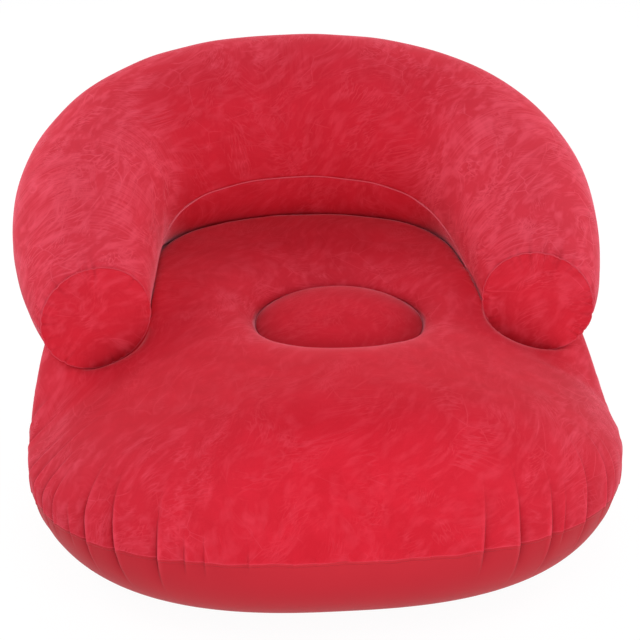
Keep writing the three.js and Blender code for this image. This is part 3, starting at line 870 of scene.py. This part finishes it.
def flocked_material(name, deep, red, pale_and_highlight, shade):
    material, tree, shader = new_material(name)
    coordinates = add_node(tree, "ShaderNodeTexCoord").outputs["Object"]
    fold, edge, wear_and_sheen = separate_marks(tree)
    worn = calculate(tree, "ADD", times(tree, wear_and_sheen, worn_gain), worn_least)
    bent = warped(tree, coordinates, warp_size, warp_reach, warp_seed)
    around = ring_lines(tree, sheet_attribute(tree, "sheet_place"), wear_and_sheen, ring_seed)
    lines = calculate(tree, "MAXIMUM", flock_lines(tree, bent), times(tree, around, ring_share))
    lines = times(tree, lines, worn)
    mottle = noise(tree, bent, mottle_size, mottle_seed, detail=4, roughness=0.6)
    mottle = beyond(tree, mottle, mottle_start, mottle_width)
    smear = sized(tree, bent, smear_sizes, smear_turn)
    smear = noise_node(tree, smear, smear_seed, detail=2).outputs[0]
    smear = times(tree, beyond(tree, smear, smear_start, smear_width), worn)
    fibres = noise(tree, coordinates, fibre_size, fibre_seed, detail=1)
    colour = blend_colours(tree, mottle, deep, red)
    # The first of these is painted sheen from the wear-and-sheen mark; the others are the flock's own
    # smears, fibres and lines.
    paler = ((wear_and_sheen, painted_sheen_share), (smear, smear_share), (fibres, fibre_share), (lines, line_share))
    for amount, share in paler:
        colour = blend_colours(tree, times(tree, amount, share), colour, pale_and_highlight)
    colour = fold_light_and_edge_colours(tree, colour, fold, edge, shade, pale_and_highlight)
    tree.links.new(colour, shader.inputs["Base Color"])
    set_sockets(shader, flock_finish)
    height = calculate(tree, "ADD", times(tree, fibres, fibre_height_share), lines)
    add_bump(tree, shader, height, flock_bump_strength, flock_bump)
    return material


flocked = flocked_material("flocked_sheet", flock_deep, flock_red, flock_pale_and_highlight, flock_shade)
print("flock nodes", len(flocked.node_tree.nodes))

# %% [markdown]
# ## Plain sheet and welds
# The underside of the seat is bare PVC: smooth, a little duller than the flock, with a soft gloss.
# The welded seams are the same PVC pressed thin, a little paler where the weld has stretched it.

# %% Colours of plain sheet, welds and valves
plain_red = (0.55, 0.022, 0.036, 1)
plain_deep = (0.50, 0.018, 0.031, 1)
# This colour is the painted highlight on the crests of the plain sheet's gathers, and the next one is the
# painted shade in their valleys.
plain_crest_highlight = (0.70, 0.09, 0.12, 1)
plain_shade = (0.24, 0.006, 0.012, 1)
weld_pale = (0.80, 0.13, 0.19, 1)
weld_red = (0.66, 0.045, 0.075, 1)
lip_pale = (0.72, 0.075, 0.12, 1)
lip_red = (0.62, 0.025, 0.045, 1)
inner_clear = (0.72, 0.66, 0.66, 1)
inner_cloudy = (0.66, 0.60, 0.60, 1)
valve_red = (0.46, 0.012, 0.028, 1)
valve_deep = (0.38, 0.009, 0.02, 1)
flap_clear = (0.78, 0.77, 0.76, 1)
flap_cloudy = (0.72, 0.71, 0.70, 1)
cloud_size = 0.14
cloud_seed = 1
grain_seed = 3
roughness_spread = 0.12
sheet_bump = 0.0004
sheet_bump_strength = 0.25

# %% Plain sheet, weld and moulded materials
def sheet_material(name, first, second, roughness, grain, gloss):
    material, tree, shader = new_material(name)
    coordinates = add_node(tree, "ShaderNodeTexCoord").outputs["Object"]
    fold, edge, _ = separate_marks(tree)
    cloud = noise(tree, coordinates, cloud_size, cloud_seed, detail=3, roughness=0.55)
    fine = noise(tree, coordinates, grain, grain_seed)
    colour = blend_colours(tree, cloud, first, second)
    # The fold mark paints shade into the valleys of gathers and a highlight onto their crests.
    colour = fold_light_and_edge_colours(tree, colour, fold, edge, plain_shade, plain_crest_highlight)
    tree.links.new(colour, shader.inputs["Base Color"])
    spread = times(tree, fine, roughness_spread)
    tree.links.new(calculate(tree, "ADD", spread, roughness), shader.inputs["Roughness"])
    set_sockets(shader, {"Specular IOR Level": gloss})
    add_bump(tree, shader, fine, sheet_bump_strength, sheet_bump)
    print(name, "roughness", roughness, "gloss", gloss)
    return material


plain = sheet_material("plain_sheet", plain_deep, plain_red, roughness=0.46, grain=0.0024, gloss=0.12)
weld = sheet_material("weld", weld_red, weld_pale, roughness=0.5, grain=0.0014, gloss=0.3)
lip_weld = sheet_material("lip_weld", lip_red, lip_pale, roughness=0.6, grain=0.0012, gloss=0.15)
inner = sheet_material("inner_sheet", inner_cloudy, inner_clear, roughness=0.35, grain=0.003, gloss=0.5)
valve_body = sheet_material("valve_body", valve_deep, valve_red, roughness=0.3, grain=0.0007, gloss=0.5)
valve_flap = sheet_material("valve_flap", flap_cloudy, flap_clear, roughness=0.3, grain=0.0007, gloss=0.5)

# %% [markdown]
# ## Gathers around the seat
# The top sheet of the seat is longer around its edge than the plain bottom sheet to which it is
# welded, so its surplus folds into gathers. They crowd at the corners, where the edge turns, and
# the middle of the front has almost none. Each is an overlap: a crisp crest, a short drop, and a
# slow rise back. Those of the front were measured in the photograph, as the angle around the seat
# and the size against a full one. Those of the rear stand at even steps, each moved and sized by
# a seeded draw.

# %% Measures of the gathers
front_gathers = {
    -171.5: 1.0, -166: 1.1, -160.9: 1.0, -156.5: 0.8, -150.8: 0.5, -146.1: 1.35, -139.1: 1.35,
    -130: 1.1, -124.4: 0.5, -120.4: 0.4, -111.5: 0.3, -61.1: 0.9, -52.9: 1.2, -45.4: 1.2,
    -42.1: 0.5, -35.7: 1.0, -27.8: 1.05, -23.1: 0.8, -16.5: 0.9, -10: 0.8, -4: 0.9,
}
place_seed = 7
shape_seed = 8
rear_gather_step = math.radians(6.2)
rear_gather_shift = 0.03
rear_gather_size = 0.8
rear_size_range = (0.6, 1.3)
small_gather_angles = np.arange(-104, -66, 6.5)
small_gather_size = 0.12
seam_samples = 1440
crest_reach = 0.005
valley_reach = 0.008
fold_blend = 0.0008
steepest_blend = 40
crest_height_share = 0.5
gather_depth = 0.0058
climb_range = (0.06, 0.11)
fall_range = (0.03, 0.06)
lean_range = (-0.08, 0.08)
wave_height = 0.0011
wave_lengths = (0.019, 0.0083)


# %% Length along the seam
def seam_ring():
    angles = np.linspace(-math.pi, math.pi, seam_samples + 1)
    points = seat_point(angles, seam_place(angles))
    steps = np.linalg.norm(np.diff(points, axis=0), axis=1)
    return angles, np.concatenate([[0], np.cumsum(steps)])


seam_angles, seam_lengths = seam_ring()


def along_seam(angle):
    wrapped = (np.asarray(angle) + math.pi) % full_turn - math.pi
    return np.interp(wrapped, seam_angles, seam_lengths)


def edge_wave(angle):
    along = along_seam(angle)
    long_wave, short_wave = wave_lengths
    return wave_height * (np.sin(along / long_wave) + np.sin(along / short_wave) / 2)


print("seam", round(float(seam_lengths[-1]), 3), "m")

# %% Where each gather stands
def gather_places():
    source = np.random.default_rng(place_seed)
    places = [(math.radians(angle), size) for angle, size in front_gathers.items()]
    rear = np.arange(rear_gather_step / 2, math.pi, rear_gather_step)
    for angle in rear + source.uniform(-rear_gather_shift, rear_gather_shift, len(rear)):
        places.append((angle, rear_gather_size * source.uniform(*rear_size_range)))
    for angle in np.radians(small_gather_angles):
        angle += source.uniform(-rear_gather_shift, rear_gather_shift)
        places.append((angle, small_gather_size))
    return places


def gather_list():
    source = np.random.default_rng(shape_seed)
    made = []
    for angle, size in gather_places():
        made.append({
            "along": float(along_seam(angle)),
            "angle": angle,
            "side": 1 if math.cos(angle) > 0 else -1,
            "size": size,
            "climb": source.uniform(*climb_range) * min(size, 1),
            "fall": source.uniform(*fall_range) * min(size, 1),
            "lean": source.uniform(*lean_range),
        })
    return made


gathers = gather_list()
print("gathers around the seat", len(gathers))

# %% The form of a gather
def gather_folds(along, above):
    total = np.zeros(np.broadcast(along, above).shape)
    whole = seam_lengths[-1]
    for gather in gathers:
        offset = along - gather["along"] + gather["lean"] * above
        offset = (offset + whole / 2) % whole - whole / 2
        offset = offset * gather["side"]
        crest = crest_height_share * np.exp(-(np.minimum(offset, 0) / crest_reach) ** 2)
        valley = -np.exp(-np.maximum(offset, 0) / valley_reach)
        blend = 1 / (1 + np.exp(-np.clip(offset / fold_blend, -steepest_blend, steepest_blend)))
        reach = np.where(above > 0, gather["climb"], gather["fall"])
        total += gather["size"] * (crest * (1 - blend) + valley * blend) * np.exp(-(above / reach) ** 2)
    return total


# %% [markdown]
# ## The seat's sheets
# The seat is a plain bottom sheet and a flocked top sheet, lapped and welded all round. The grid
# has more columns at each gather, because a fold is a few millimetres wide and the edge is more
# than three metres long. Cloth simulation would need millions of points for such folds, so they
# are made by rule on top of the blown-up form.

# %% Columns around the seat
even_columns = 400
gather_columns = np.array([
    -0.012, -0.008, -0.0055, -0.0035, -0.002, -0.0009, 0, 0.0009, 0.002, 0.0036, 0.006, 0.01,
])
few_columns = np.array([-0.008, -0.004, -0.0015, 0, 0.0015, 0.004, 0.008])
valve_columns = np.linspace(-0.036, 0.036, 19)
closest_columns = 0.0006


def seat_column_angles():
    whole = seam_lengths[-1]
    lengths = [np.arange(even_columns) / even_columns * whole]
    for gather in gathers:
        near = gather_columns if gather["angle"] < 0 else few_columns
        lengths.append(gather["along"] + near)
    lengths.append(along_seam(seat_valve_angle) + valve_columns)
    lengths = np.sort(np.concatenate(lengths) % whole)
    kept = np.concatenate([[True], np.diff(lengths) > closest_columns])
    return np.interp(lengths[kept], seam_lengths, seam_angles)


seat_angles = seat_column_angles()
print("columns around the seat", len(seat_angles))

# %% Rows up the seat
first_rows = np.array([0, 0.0009, 0.002, 0.0036])
column_samples = 160


def seam_step(angle, distance):
    place = seam_place(angle)
    step = seat_point(angle, place + tiny_step) - seat_point(angle, place - tiny_step)
    return place + distance * 2 * tiny_step / np.linalg.norm(step, axis=-1)


def places_between(angles, start, end, fixed, rows, crowding):
    share = np.linspace(0, 1, column_samples)
    places = start[:, None] + (end - start)[:, None] * share
    lengths = running_length(seat_point(angles[:, None], places))
    whole = lengths[:, -1:]
    crowded = fixed[-1] + (whole - fixed[-1]) * np.linspace(0, 1, rows + 1)[None, 1:] ** crowding
    wanted = np.concatenate([np.broadcast_to(fixed, (len(angles), len(fixed))), crowded], 1)
    found = [np.interp(want, line, row) for want, line, row in zip(wanted, lengths, places)]
    return np.array(found), wanted


def ring_places(angle, radius, distance):
    angle, distance = np.broadcast_arrays(angle, distance)
    return np.stack([radius * np.cos(angle), radius * np.sin(angle), distance], -1)


# %% The pinched crease at the well
pinch_depth = 0.0045
pinch_reach = 0.011
sink_depth = 0.004
sink_reach = 0.034


def pinch(distance):
    sink = sink_depth * np.exp(-(distance / sink_reach) ** 2)
    return sink + pinch_depth * np.exp(-(distance / pinch_reach) ** 2)


print("pinched by", pinch(0), "m at the weld")

# %% Seat top sheet
seat_rows = 58
row_crowding = 1.25
lap_drop = 0.001
seat_place_radius = 0.5
rim_margin = 0.004
# Where the seat top carries wear lines and a paler painted sheen: its left and right shoulders and the
# rim of the well.
rim_mark_start = 2.5
mark_ramp_width = 0.45
side_wear_and_sheen_share = 0.8
rim_wear_and_sheen_share = 0.5
side_mark_end = 2.1
edge_mark_reach = 0.001
low_side_end = 1.2


def seat_evenness(points, places, above):
    free = smooth_step((crown(points[..., 0], points[..., 1]) - points[..., 2]) / pinch_depth)
    pressed = np.where(places > low_side_end, free, 0) * np.where(places < crown_place, 1, 0)
    near_seam = smooth_step(above / climb_range[0])
    return near_seam * (1 - pressed)


def make_seat_top():
    angles = seat_angles
    start = seam_step(angles, edge_wave(angles) - lap_drop)
    end = np.full_like(angles, well_place - rim_margin)
    places, above = places_between(angles, start, end, first_rows, seat_rows, row_crowding)
    points = seat_point(angles[:, None], places)
    normals = grid_normals(points, True)
    folds = gather_folds(along_seam(angles)[:, None], above)
    lift = gather_depth * folds + uneven(points) * seat_evenness(points, places, above)
    points = flattened(points + normals * lift[..., None], seat_valve_frame)
    from_rim = above[:, -1:] - above
    points[..., 2] -= pinch(from_rim)
    # Wear lines and painted sheen: paler on the left and right shoulders and at the well's rim.
    on_side = side_wear_and_sheen_share * smooth_step((side_mark_end - places) / mark_ramp_width)
    on_side = on_side * np.cos(angles)[:, None] ** 2
    wear_and_sheen = rim_wear_and_sheen_share * smooth_step((places - rim_mark_start) / mark_ramp_width) + on_side
    # The fold mark gives painted shade in the gathers' valleys and a painted highlight on their crests.
    marks = marks_of(folds, np.exp(-above / edge_mark_reach), wear_and_sheen)
    sheet = ring_places(angles[:, None], seat_place_radius, above)
    mesh = grid_mesh("seat_top_sheet", points, True, places=sheet, marks=marks)
    open_hole(mesh, seat_valve_frame, hole_radius)
    piece = add_piece("seat_top_sheet", mesh, flocked, ["seat_top_skin"], flocked_wall)


make_seat_top()

# %% Seat bottom sheet
bottom_rows = 34
bottom_crowding = 1.2
middle_rows = 6
lap_under = 0.0008


def make_seat_bottom():
    angles = seat_angles
    end = np.zeros_like(angles)
    start = seam_step(angles, edge_wave(angles))
    places, below = places_between(angles, start, end, first_rows, bottom_rows, bottom_crowding)
    places, below = places[:, ::-1], below[:, ::-1]
    points = seat_point(angles[:, None], places)
    normals = grid_normals(points, True)
    folds = gather_folds(along_seam(angles)[:, None], -below)
    points = points + normals * (gather_depth * folds - lap_under)[..., None]
    points[..., 2] = np.maximum(points[..., 2], 0)
    shares = np.linspace(0, 1, middle_rows + 1)[:-1]
    middle = points[:, :1] * shares[None, :, None]
    folds = np.concatenate([np.zeros(middle.shape[:2]), folds], 1)
    points = np.concatenate([middle, points], 1)
    # The fold mark gives painted shade in the gathers' valleys and a painted highlight on their crests.
    mesh = grid_mesh("seat_bottom_sheet", points, True, marks=marks_of(folds, 0, 0))
    weld_doubles(mesh)
    piece = add_piece("seat_bottom_sheet", mesh, plain, ["seat_bottom_skin"], plain_wall)


make_seat_bottom()

# %% [markdown]
# ## The lapped weld
# Where the two sheets overlap, heat has pressed a narrow band flat. It stands only a few tenths
# of a millimetre proud, just under the cut edge of the flock, and dips in and out with the gathers.

# %% Perimeter weld
weld_heights = np.array([-0.0062, -0.0052, -0.004, -0.0026, -0.0012, 0.0004])
weld_prouds = np.array([-0.0004, 0.0001, 0.0003, 0.0003, 0.0002, -0.0006])
weld_sheet = 0.0006


def make_perimeter_weld():
    angles = seat_angles
    heights = edge_wave(angles)[:, None] + weld_heights
    points = seat_point(angles[:, None], seam_step(angles[:, None], heights))
    normals = grid_normals(points, True)
    folds = gather_folds(along_seam(angles)[:, None], heights)
    points = points + normals * (gather_depth * folds + weld_prouds)[..., None]
    # The fold mark gives painted shade in the gathers' valleys and a painted highlight on their crests.
    mesh = grid_mesh("seat_lapped_weld", points, True, marks=marks_of(folds, 0, 0))
    add_piece("seat_lapped_weld", mesh, plain, ["seat_perimeter_weld"], weld_sheet)


make_perimeter_weld()

# %% [markdown]
# ## The well
# A round flocked panel closes the hole in the middle of the dish. It is welded around its edge to
# the dish and to a sleeve inside the cushion that runs down to the floor, so the air bulges it up
# into a low dome with a pinched groove around it.

# %% Well panel
panel_columns = 320
panel_rows = 44
panel_crowding = 0.7
panel_mark_start = 0.75
panel_place_radius = 0.2
panel_edge_painted_shade = 0.4


def ring_angles(columns):
    return np.linspace(-math.pi, math.pi, columns + 1)[:-1]


def around_well(angles, radius, height):
    x = well_x + radius * np.cos(angles)[:, None]
    y = well_y + radius * np.sin(angles)[:, None]
    return np.stack(np.broadcast_arrays(x, y, height), -1)


def make_well_panel():
    angles = ring_angles(panel_columns)
    share = np.linspace(0, 1, panel_rows) ** panel_crowding
    radius = share * (well_radius - weld_gap)
    points = around_well(angles, radius, 0.0)
    tilt = well_tilt_share * (points[..., 1] - well_y)
    points[..., 2] = well_rim_height + tilt + panel_rise * (1 - share[None] ** 2)
    points[..., 2] += uneven(points) * (1 - share[None]) - pinch(well_radius - radius)[None]
    # Towards its rim the panel carries wear lines and a paler painted sheen.
    wear_and_sheen = rim_wear_and_sheen_share * smooth_step((share[None] - panel_mark_start) / (1 - panel_mark_start))
    sheet = ring_places(angles[:, None], panel_place_radius, radius[None])
    # Painted shade: the panel is darkened towards the shade colour near its rim, in the groove.
    rim_painted_shade = -panel_edge_painted_shade * np.exp(-(((well_radius - radius) / sink_reach) ** 2))
    marks = marks_of(np.broadcast_to(rim_painted_shade[None], points.shape[:2]), 0, wear_and_sheen)
    mesh = grid_mesh("well_panel_sheet", points, True, places=sheet, marks=marks)
    weld_doubles(mesh)
    piece = add_piece(
        "well_panel_sheet", mesh, flocked, ["seat_well_panel"], flocked_wall
    )


make_well_panel()

# %% Ring weld of the well
ring_sections = 8
ring_half_width = 0.005
ring_half_height = 0.0012
ring_lift = 0.0016


def make_well_weld():
    angles = ring_angles(panel_columns)
    turns = np.linspace(full_turn, 0, ring_sections + 1)
    radius = well_radius + ring_half_width * np.cos(turns)[None]
    height = well_rim(angles)[:, None] - pinch(0) - ring_lift + ring_half_height * np.sin(turns)[None]
    points = around_well(angles, radius, height)
    mesh = grid_mesh("well_ring_weld", points, True, turned_round=True)
    weld_doubles(mesh)
    add_piece("well_ring_weld", mesh, lip_weld, ["seat_well_weld"])


make_well_weld()

# %% [markdown]
# ## The sleeve inside the seat
# A clear sleeve ties the well to the bottom sheet. It has round vents so that the air of the whole
# cushion stays one chamber. It can't be seen, and its shape is plain: a pipe with a flange at each
# end, cut flat from sheet and welded.

# %% Sleeve
sleeve_rows = 14
sleeve_columns = 240
vent_radius = 0.014
vent_count = 6
vent_height_share = 0.5


def vent_frames():
    for angle in np.arange(vent_count) / vent_count * full_turn:
        outward = np.array([math.cos(angle), math.sin(angle), 0])
        origin = np.array([well_x, well_y, well_rim_height * vent_height_share]) + outward * well_radius
        up = np.array([0, 0, 1])
        yield np.stack([np.cross(up, outward), up, outward]), origin


def make_sleeve():
    angles = ring_angles(sleeve_columns)
    low = plain_wall + weld_gap
    high = well_rim(angles)[:, None] - pinch(0) - ring_lift - 2 * ring_half_height
    share = np.linspace(0, 1, sleeve_rows)[None]
    pipe = low + (high - low) * share
    height = np.concatenate([np.full((sleeve_columns, 1), low), pipe, high], 1)
    radius = np.full(height.shape[1], well_radius)
    radius[0] = well_radius + sleeve_flange
    radius[-1] = well_radius - sleeve_flange
    mesh = grid_mesh("inner_sleeve_sheet", around_well(angles, radius, height), True)
    for vent_frame in vent_frames():
        open_hole(mesh, vent_frame, vent_radius)
    add_piece("inner_sleeve_sheet", mesh, inner, ["seat_inner_sleeve"], flocked_wall)


make_sleeve()

# %% [markdown]
# ## The tube's two sheets
# The backrest and both arms are one tube of an upper and a lower sheet, welded along the inner and
# the outer seam. Near the round arm ends the sheets are gathered onto a smaller disc, so they
# pucker there, and the disc has the same puckers on its side of the weld.

# %% Pleats at the arm ends
pleat_count = 34
pleat_width = 0.0035
pleat_depth = 0.0022
pleat_reach = 0.014
pleat_seeds = {-1: 21, 1: 22}
pleat_shift = 0.5
pleat_sizes = (0.15, 1)
pleat_mark_share = 0.5
end_radius = 0.096


def pleat_angles(side):
    source = np.random.default_rng(pleat_seeds[side])
    even = np.arange(pleat_count) / pleat_count * full_turn
    jitter = source.uniform(-pleat_shift, pleat_shift, pleat_count) * full_turn / pleat_count
    return even + jitter, source.uniform(*pleat_sizes, pleat_count) ** 2


def pleats(angle, side):
    total = np.zeros_like(angle)
    for middle, size in zip(*pleat_angles(side)):
        offset = (angle - middle + math.pi) % full_turn - math.pi
        total -= size * np.exp(-(offset * end_radius / pleat_width) ** 2)
    return total


# %% Stations along the tube
even_stations = 400
end_stations = np.array([0, 0.0012, 0.0026, 0.0045, 0.007, 0.01, 0.0135, 0.018])
station_clearance = 1.2
half_spine = spine_length / 2
skin_end = 1 - (lip_thickness / 2) / half_spine


def tube_stations():
    near = end_stations / half_spine
    even = np.linspace(-skin_end, skin_end, even_stations)
    even = even[np.abs(even) < skin_end - station_clearance * near[-1]]
    return np.sort(np.concatenate([even, -skin_end + near, skin_end - near]))


print("stations along the tube", len(tube_stations()))

# %% Tube sheets
upper_rows = 96
lower_rows = 64
end_pinch = 0.0022
end_pinch_reach = 0.006
seam_calm_reach = 0.4
tube_place_radius = 0.15
# Shares of wear lines and painted sheen on the tube: most on the back and arms, less on the shaded inner
# face, none low in the crease by the bed.
back_wear_and_sheen_share = 0.78
inner_shaded_share = 0.65
arm_wear_and_sheen_share = 0.6
arm_start_share = 0.35
arm_reach_share = 0.3
shaded_crease_height = 0.16


def calm_near_seams(angles):
    near = np.minimum.reduce([
        np.abs(angles - inner_seam_angle), np.abs(angles - outer_seam_angle),
        np.abs(angles - inner_seam_angle - full_turn),
    ])
    return smooth_step(near / seam_calm_reach)


def make_tube_sheet(name, start, end, rows, node, valve_frame=None):
    shares = tube_stations()
    angles = np.linspace(start, end, rows)
    points = tube_point(shares[:, None], angles[None])
    normals = grid_normals(points, False)
    from_end = (skin_end - np.abs(shares))[:, None] * half_spine
    ring = np.broadcast_to(angles[None], points.shape[:2])
    folds = np.where(shares[:, None] < 0, pleats(ring, -1), pleats(ring, 1))
    folds = folds * np.exp(-from_end / pleat_reach)
    above_bed = smooth_step((points[..., 2] - rest_plane(points[..., 1]) - tube_floor) / pad_half)
    calm = calm_near_seams(ring) * above_bed * smooth_step(from_end / pad_half)
    drawn = end_pinch * np.exp(-(from_end / end_pinch_reach) ** 2) * above_bed
    lift = pleat_depth * folds * above_bed + uneven(points) * calm - drawn
    points = points + normals * lift[..., None]
    if valve_frame:
        points = flattened(points, valve_frame)
    # Wear lines and painted sheen: paler on the back and the arms, less on the back's inner face, which
    # is in shade, and fading out low down by the bed, where the crease is shaded.
    on_arm = smooth_step((np.abs(shares[:, None]) - arm_start_share) / arm_reach_share)
    height = points[..., 2] - rest_plane(points[..., 1])
    inside = 1 - inner_shaded_share * smooth_step(np.cos(ring)) * (1 - on_arm)
    wear_and_sheen = (back_wear_and_sheen_share + arm_wear_and_sheen_share * on_arm) * inside
    wear_and_sheen = wear_and_sheen * smooth_step(height / shaded_crease_height)
    sheet = ring_places(ring, tube_place_radius, (shares * half_spine)[:, None])
    # The pleat folds give painted shade in the puckers near the arm ends.
    marks = marks_of(folds * pleat_mark_share, 0, wear_and_sheen)
    mesh = grid_mesh(name, points, False, places=sheet, marks=marks)
    if valve_frame:
        open_hole(mesh, valve_frame, hole_radius)
    piece = add_piece(name, mesh, flocked, [node], flocked_wall)


make_tube_sheet(
    "backrest_upper_sheet", inner_seam_angle, outer_seam_angle, upper_rows, "backrest_upper_skin",
    tube_valve_frame,
)
make_tube_sheet(
    "backrest_lower_sheet", outer_seam_angle, inner_seam_angle + full_turn, lower_rows,
    "backrest_lower_skin",
)

# %% [markdown]
# ## Seams of the tube
# The upper and lower sheets of the tube meet in two long welds. Each shows as a thin raised pale
# line. A line follows a path, so Geometry Nodes sweep a round profile along it.

# %% A tree that sweeps a round profile
def swept_bead_tree():
    tree = bpy.data.node_groups.new("swept_bead", "GeometryNodeTree")
    kinds = {"Geometry": "Geometry", "Radius": "Float", "Sides": "Int", "Material": "Material"}
    names = {}
    for name, kind in kinds.items():
        socket = tree.interface.new_socket(name, in_out="INPUT", socket_type="NodeSocket" + kind)
        names[name] = socket.identifier
    tree.interface.new_socket("Geometry", in_out="OUTPUT", socket_type="NodeSocketGeometry")
    source = tree.nodes.new("NodeGroupInput")
    result = tree.nodes.new("NodeGroupOutput")
    curve = tree.nodes.new("GeometryNodeMeshToCurve")
    profile = tree.nodes.new("GeometryNodeCurvePrimitiveCircle")
    sweep = tree.nodes.new("GeometryNodeCurveToMesh")
    smooth = tree.nodes.new("GeometryNodeSetShadeSmooth")
    realize = tree.nodes.new("GeometryNodeRealizeInstances")
    paint = tree.nodes.new("GeometryNodeSetMaterial")
    sweep.inputs["Fill Caps"].default_value = True
    links = [
        (source, "Geometry", curve, "Mesh"),
        (source, "Radius", profile, "Radius"),
        (source, "Sides", profile, "Resolution"),
        (curve, "Curve", sweep, "Curve"),
        (profile, "Curve", sweep, "Profile Curve"),
        (sweep, "Mesh", smooth, "Geometry"),
        (smooth, "Geometry", realize, "Geometry"),
        (realize, "Geometry", paint, "Geometry"),
        (source, "Material", paint, "Material"),
        (paint, "Geometry", result, "Geometry"),
    ]
    for start, leaving, end, entering in links:
        tree.links.new(start.outputs[leaving], end.inputs[entering])
    return tree, names


bead_tree, bead_inputs = swept_bead_tree()
print("bead tree with", len(bead_tree.nodes), "nodes and inputs", list(bead_inputs))

# %% Sweep a line
bead_sides = 8


def sweep_bead(name, points, closed, radius, material, nodes):
    placed = np.array(points)
    placed[:, 1] -= shift_back
    count = len(placed)
    edges = [(i, (i + 1) % count) for i in range(count if closed else count - 1)]
    line = bpy.data.meshes.new(name + "_line")
    line.from_pydata(placed.tolist(), edges, [])
    carrier = bpy.data.objects.new(name + "_line", line)
    scene.collection.objects.link(carrier)
    modifier = carrier.modifiers.new("sweep", "NODES")
    modifier.node_group = bead_tree
    modifier[bead_inputs["Radius"]] = radius
    modifier[bead_inputs["Sides"]] = bead_sides
    modifier[bead_inputs["Material"]] = material
    bpy.context.view_layer.update()
    graph = bpy.context.evaluated_depsgraph_get()
    mesh = bpy.data.meshes.new_from_object(carrier.evaluated_get(graph))
    mesh.name = name
    bpy.data.objects.remove(carrier)
    mesh.materials.clear()
    add_piece(name, mesh, material, nodes)


# %% Seams of the tube
bead_radius = 0.0011
bead_stand = 0.0003
bead_stations = 420
bead_wander = 0.0006
bead_wander_length = 0.023


def seam_path(angle):
    shares = np.linspace(-skin_end, skin_end, bead_stations)
    wander = bead_wander * np.sin(shares * half_spine / bead_wander_length)
    return tube_point(shares, angle + wander / tube_place_radius, bead_stand)


for seam_name, seam_angle in (("inner", inner_seam_angle), ("outer", outer_seam_angle)):
    sweep_bead(
        f"backrest_{seam_name}_bead", seam_path(seam_angle), False, bead_radius, weld,
        [f"backrest_{seam_name}_seam"],
    )

# %% [markdown]
# ## Arm ends
# Each arm is closed by a flat disc that the air bulges a little. The weld around it is a thin
# puckered lip.

# %% Arm ends
cap_columns = 300
cap_rows = 42
cap_crowding = 0.75
cap_place_radius = 0.2
cap_wear_and_sheen_share = 0.45
lip_radius = 0.0012
lip_stand = 0.0004
lip_wander = 0.002


def make_arm_end(side, end):
    share = end * (1 + (lip_thickness / 2) / half_spine)
    angles = np.linspace(0, full_turn, cap_columns + 1)[:-1]
    edge = tube_point(share, angles)
    middle = tube_middle(np.array(share))
    slope = spine(np.array(share))[1]
    outward = np.array([slope[0], slope[1], 0]) * end
    reach = np.linspace(0, 1, cap_rows) ** cap_crowding
    points = middle + (edge[:, None] - middle) * reach[None, :, None]
    ring = np.broadcast_to(angles[:, None], points.shape[:2])
    from_edge = (1 - reach[None]) * end_radius
    folds = pleats(ring, end) * np.exp(-from_edge / pleat_reach) * (reach[None] > 0)
    bulge = end_cap_rise * (1 - reach[None] ** 2)
    bulge = bulge + pleat_depth * folds * smooth_step(from_edge / end_pinch)
    bulge = bulge + uneven(points) * smooth_step(from_edge / pad_half)
    points = points + outward * bulge[..., None]
    sheet = ring_places(ring, cap_place_radius, reach[None] * end_radius)
    # The cap gets wear lines and a paler painted sheen, and its pleats get painted shade in the puckers.
    marks = marks_of(folds * pleat_mark_share, 0, cap_wear_and_sheen_share)
    name = side + "_arm_cap_sheet"
    mesh = grid_mesh(name, points, True, turned_round=end > 0, places=sheet, marks=marks)
    weld_doubles(mesh)
    cap = add_piece(name, mesh, flocked, [side + "_arm_end_cap"], flocked_wall)
    rim = tube_point(end, angles, lip_stand + lip_wander * pleats(angles, end))
    sweep_bead(side + "_arm_lip", rim, True, lip_radius, lip_weld, [side + "_arm_end_lip"])


make_arm_end("left", -1)
make_arm_end("right", 1)

# %% [markdown]
# ## The joining strip
# A strip of sheet welds the tube to the seat along the line where they rest on each other. It is
# hidden except for its edges, deep in the crease between the two.

# %% Joining strip
strip_stations = 300
strip_rows = 9


def make_joining_strip():
    shares = np.linspace(-strip_end_share, strip_end_share, strip_stations)
    point, slope = spine(shares)
    inward = np.stack([slope[:, 1], -slope[:, 0]], -1)
    offset = np.linspace(strip_width / 2, -strip_width / 2, strip_rows)
    plan = point[:, None] + inward[:, None] * offset[None, :, None]
    height = rest_plane(plan[..., 1]) + weld_gap + strip_thickness
    points = np.concatenate([plan, height[..., None]], -1)
    mesh = grid_mesh("joining_strip_sheet", points, False)
    add_piece("joining_strip_sheet", mesh, weld, ["backrest_joining_strip"], strip_thickness)


make_joining_strip()

# %% [markdown]
# ## Valves
# The two moulded valves keep their solids, which have the right shape, and get the moulded
# plastic's finish: the same red PVC, smoother and glossier than the sheet. The check flap is
# clear film.

# %% Materials of the moulded valves
def repaint(name, material):
    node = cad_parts[name]
    for place in node.material_slots:
        place.material = material


for valve_name in ("seat_valve", "backrest_valve"):
    for part_name in ("base", "stopper", "cap"):
        repaint(valve_name + "_" + part_name, valve_body)
    repaint(valve_name + "_flap", valve_flap)
    print(valve_name, "painted")
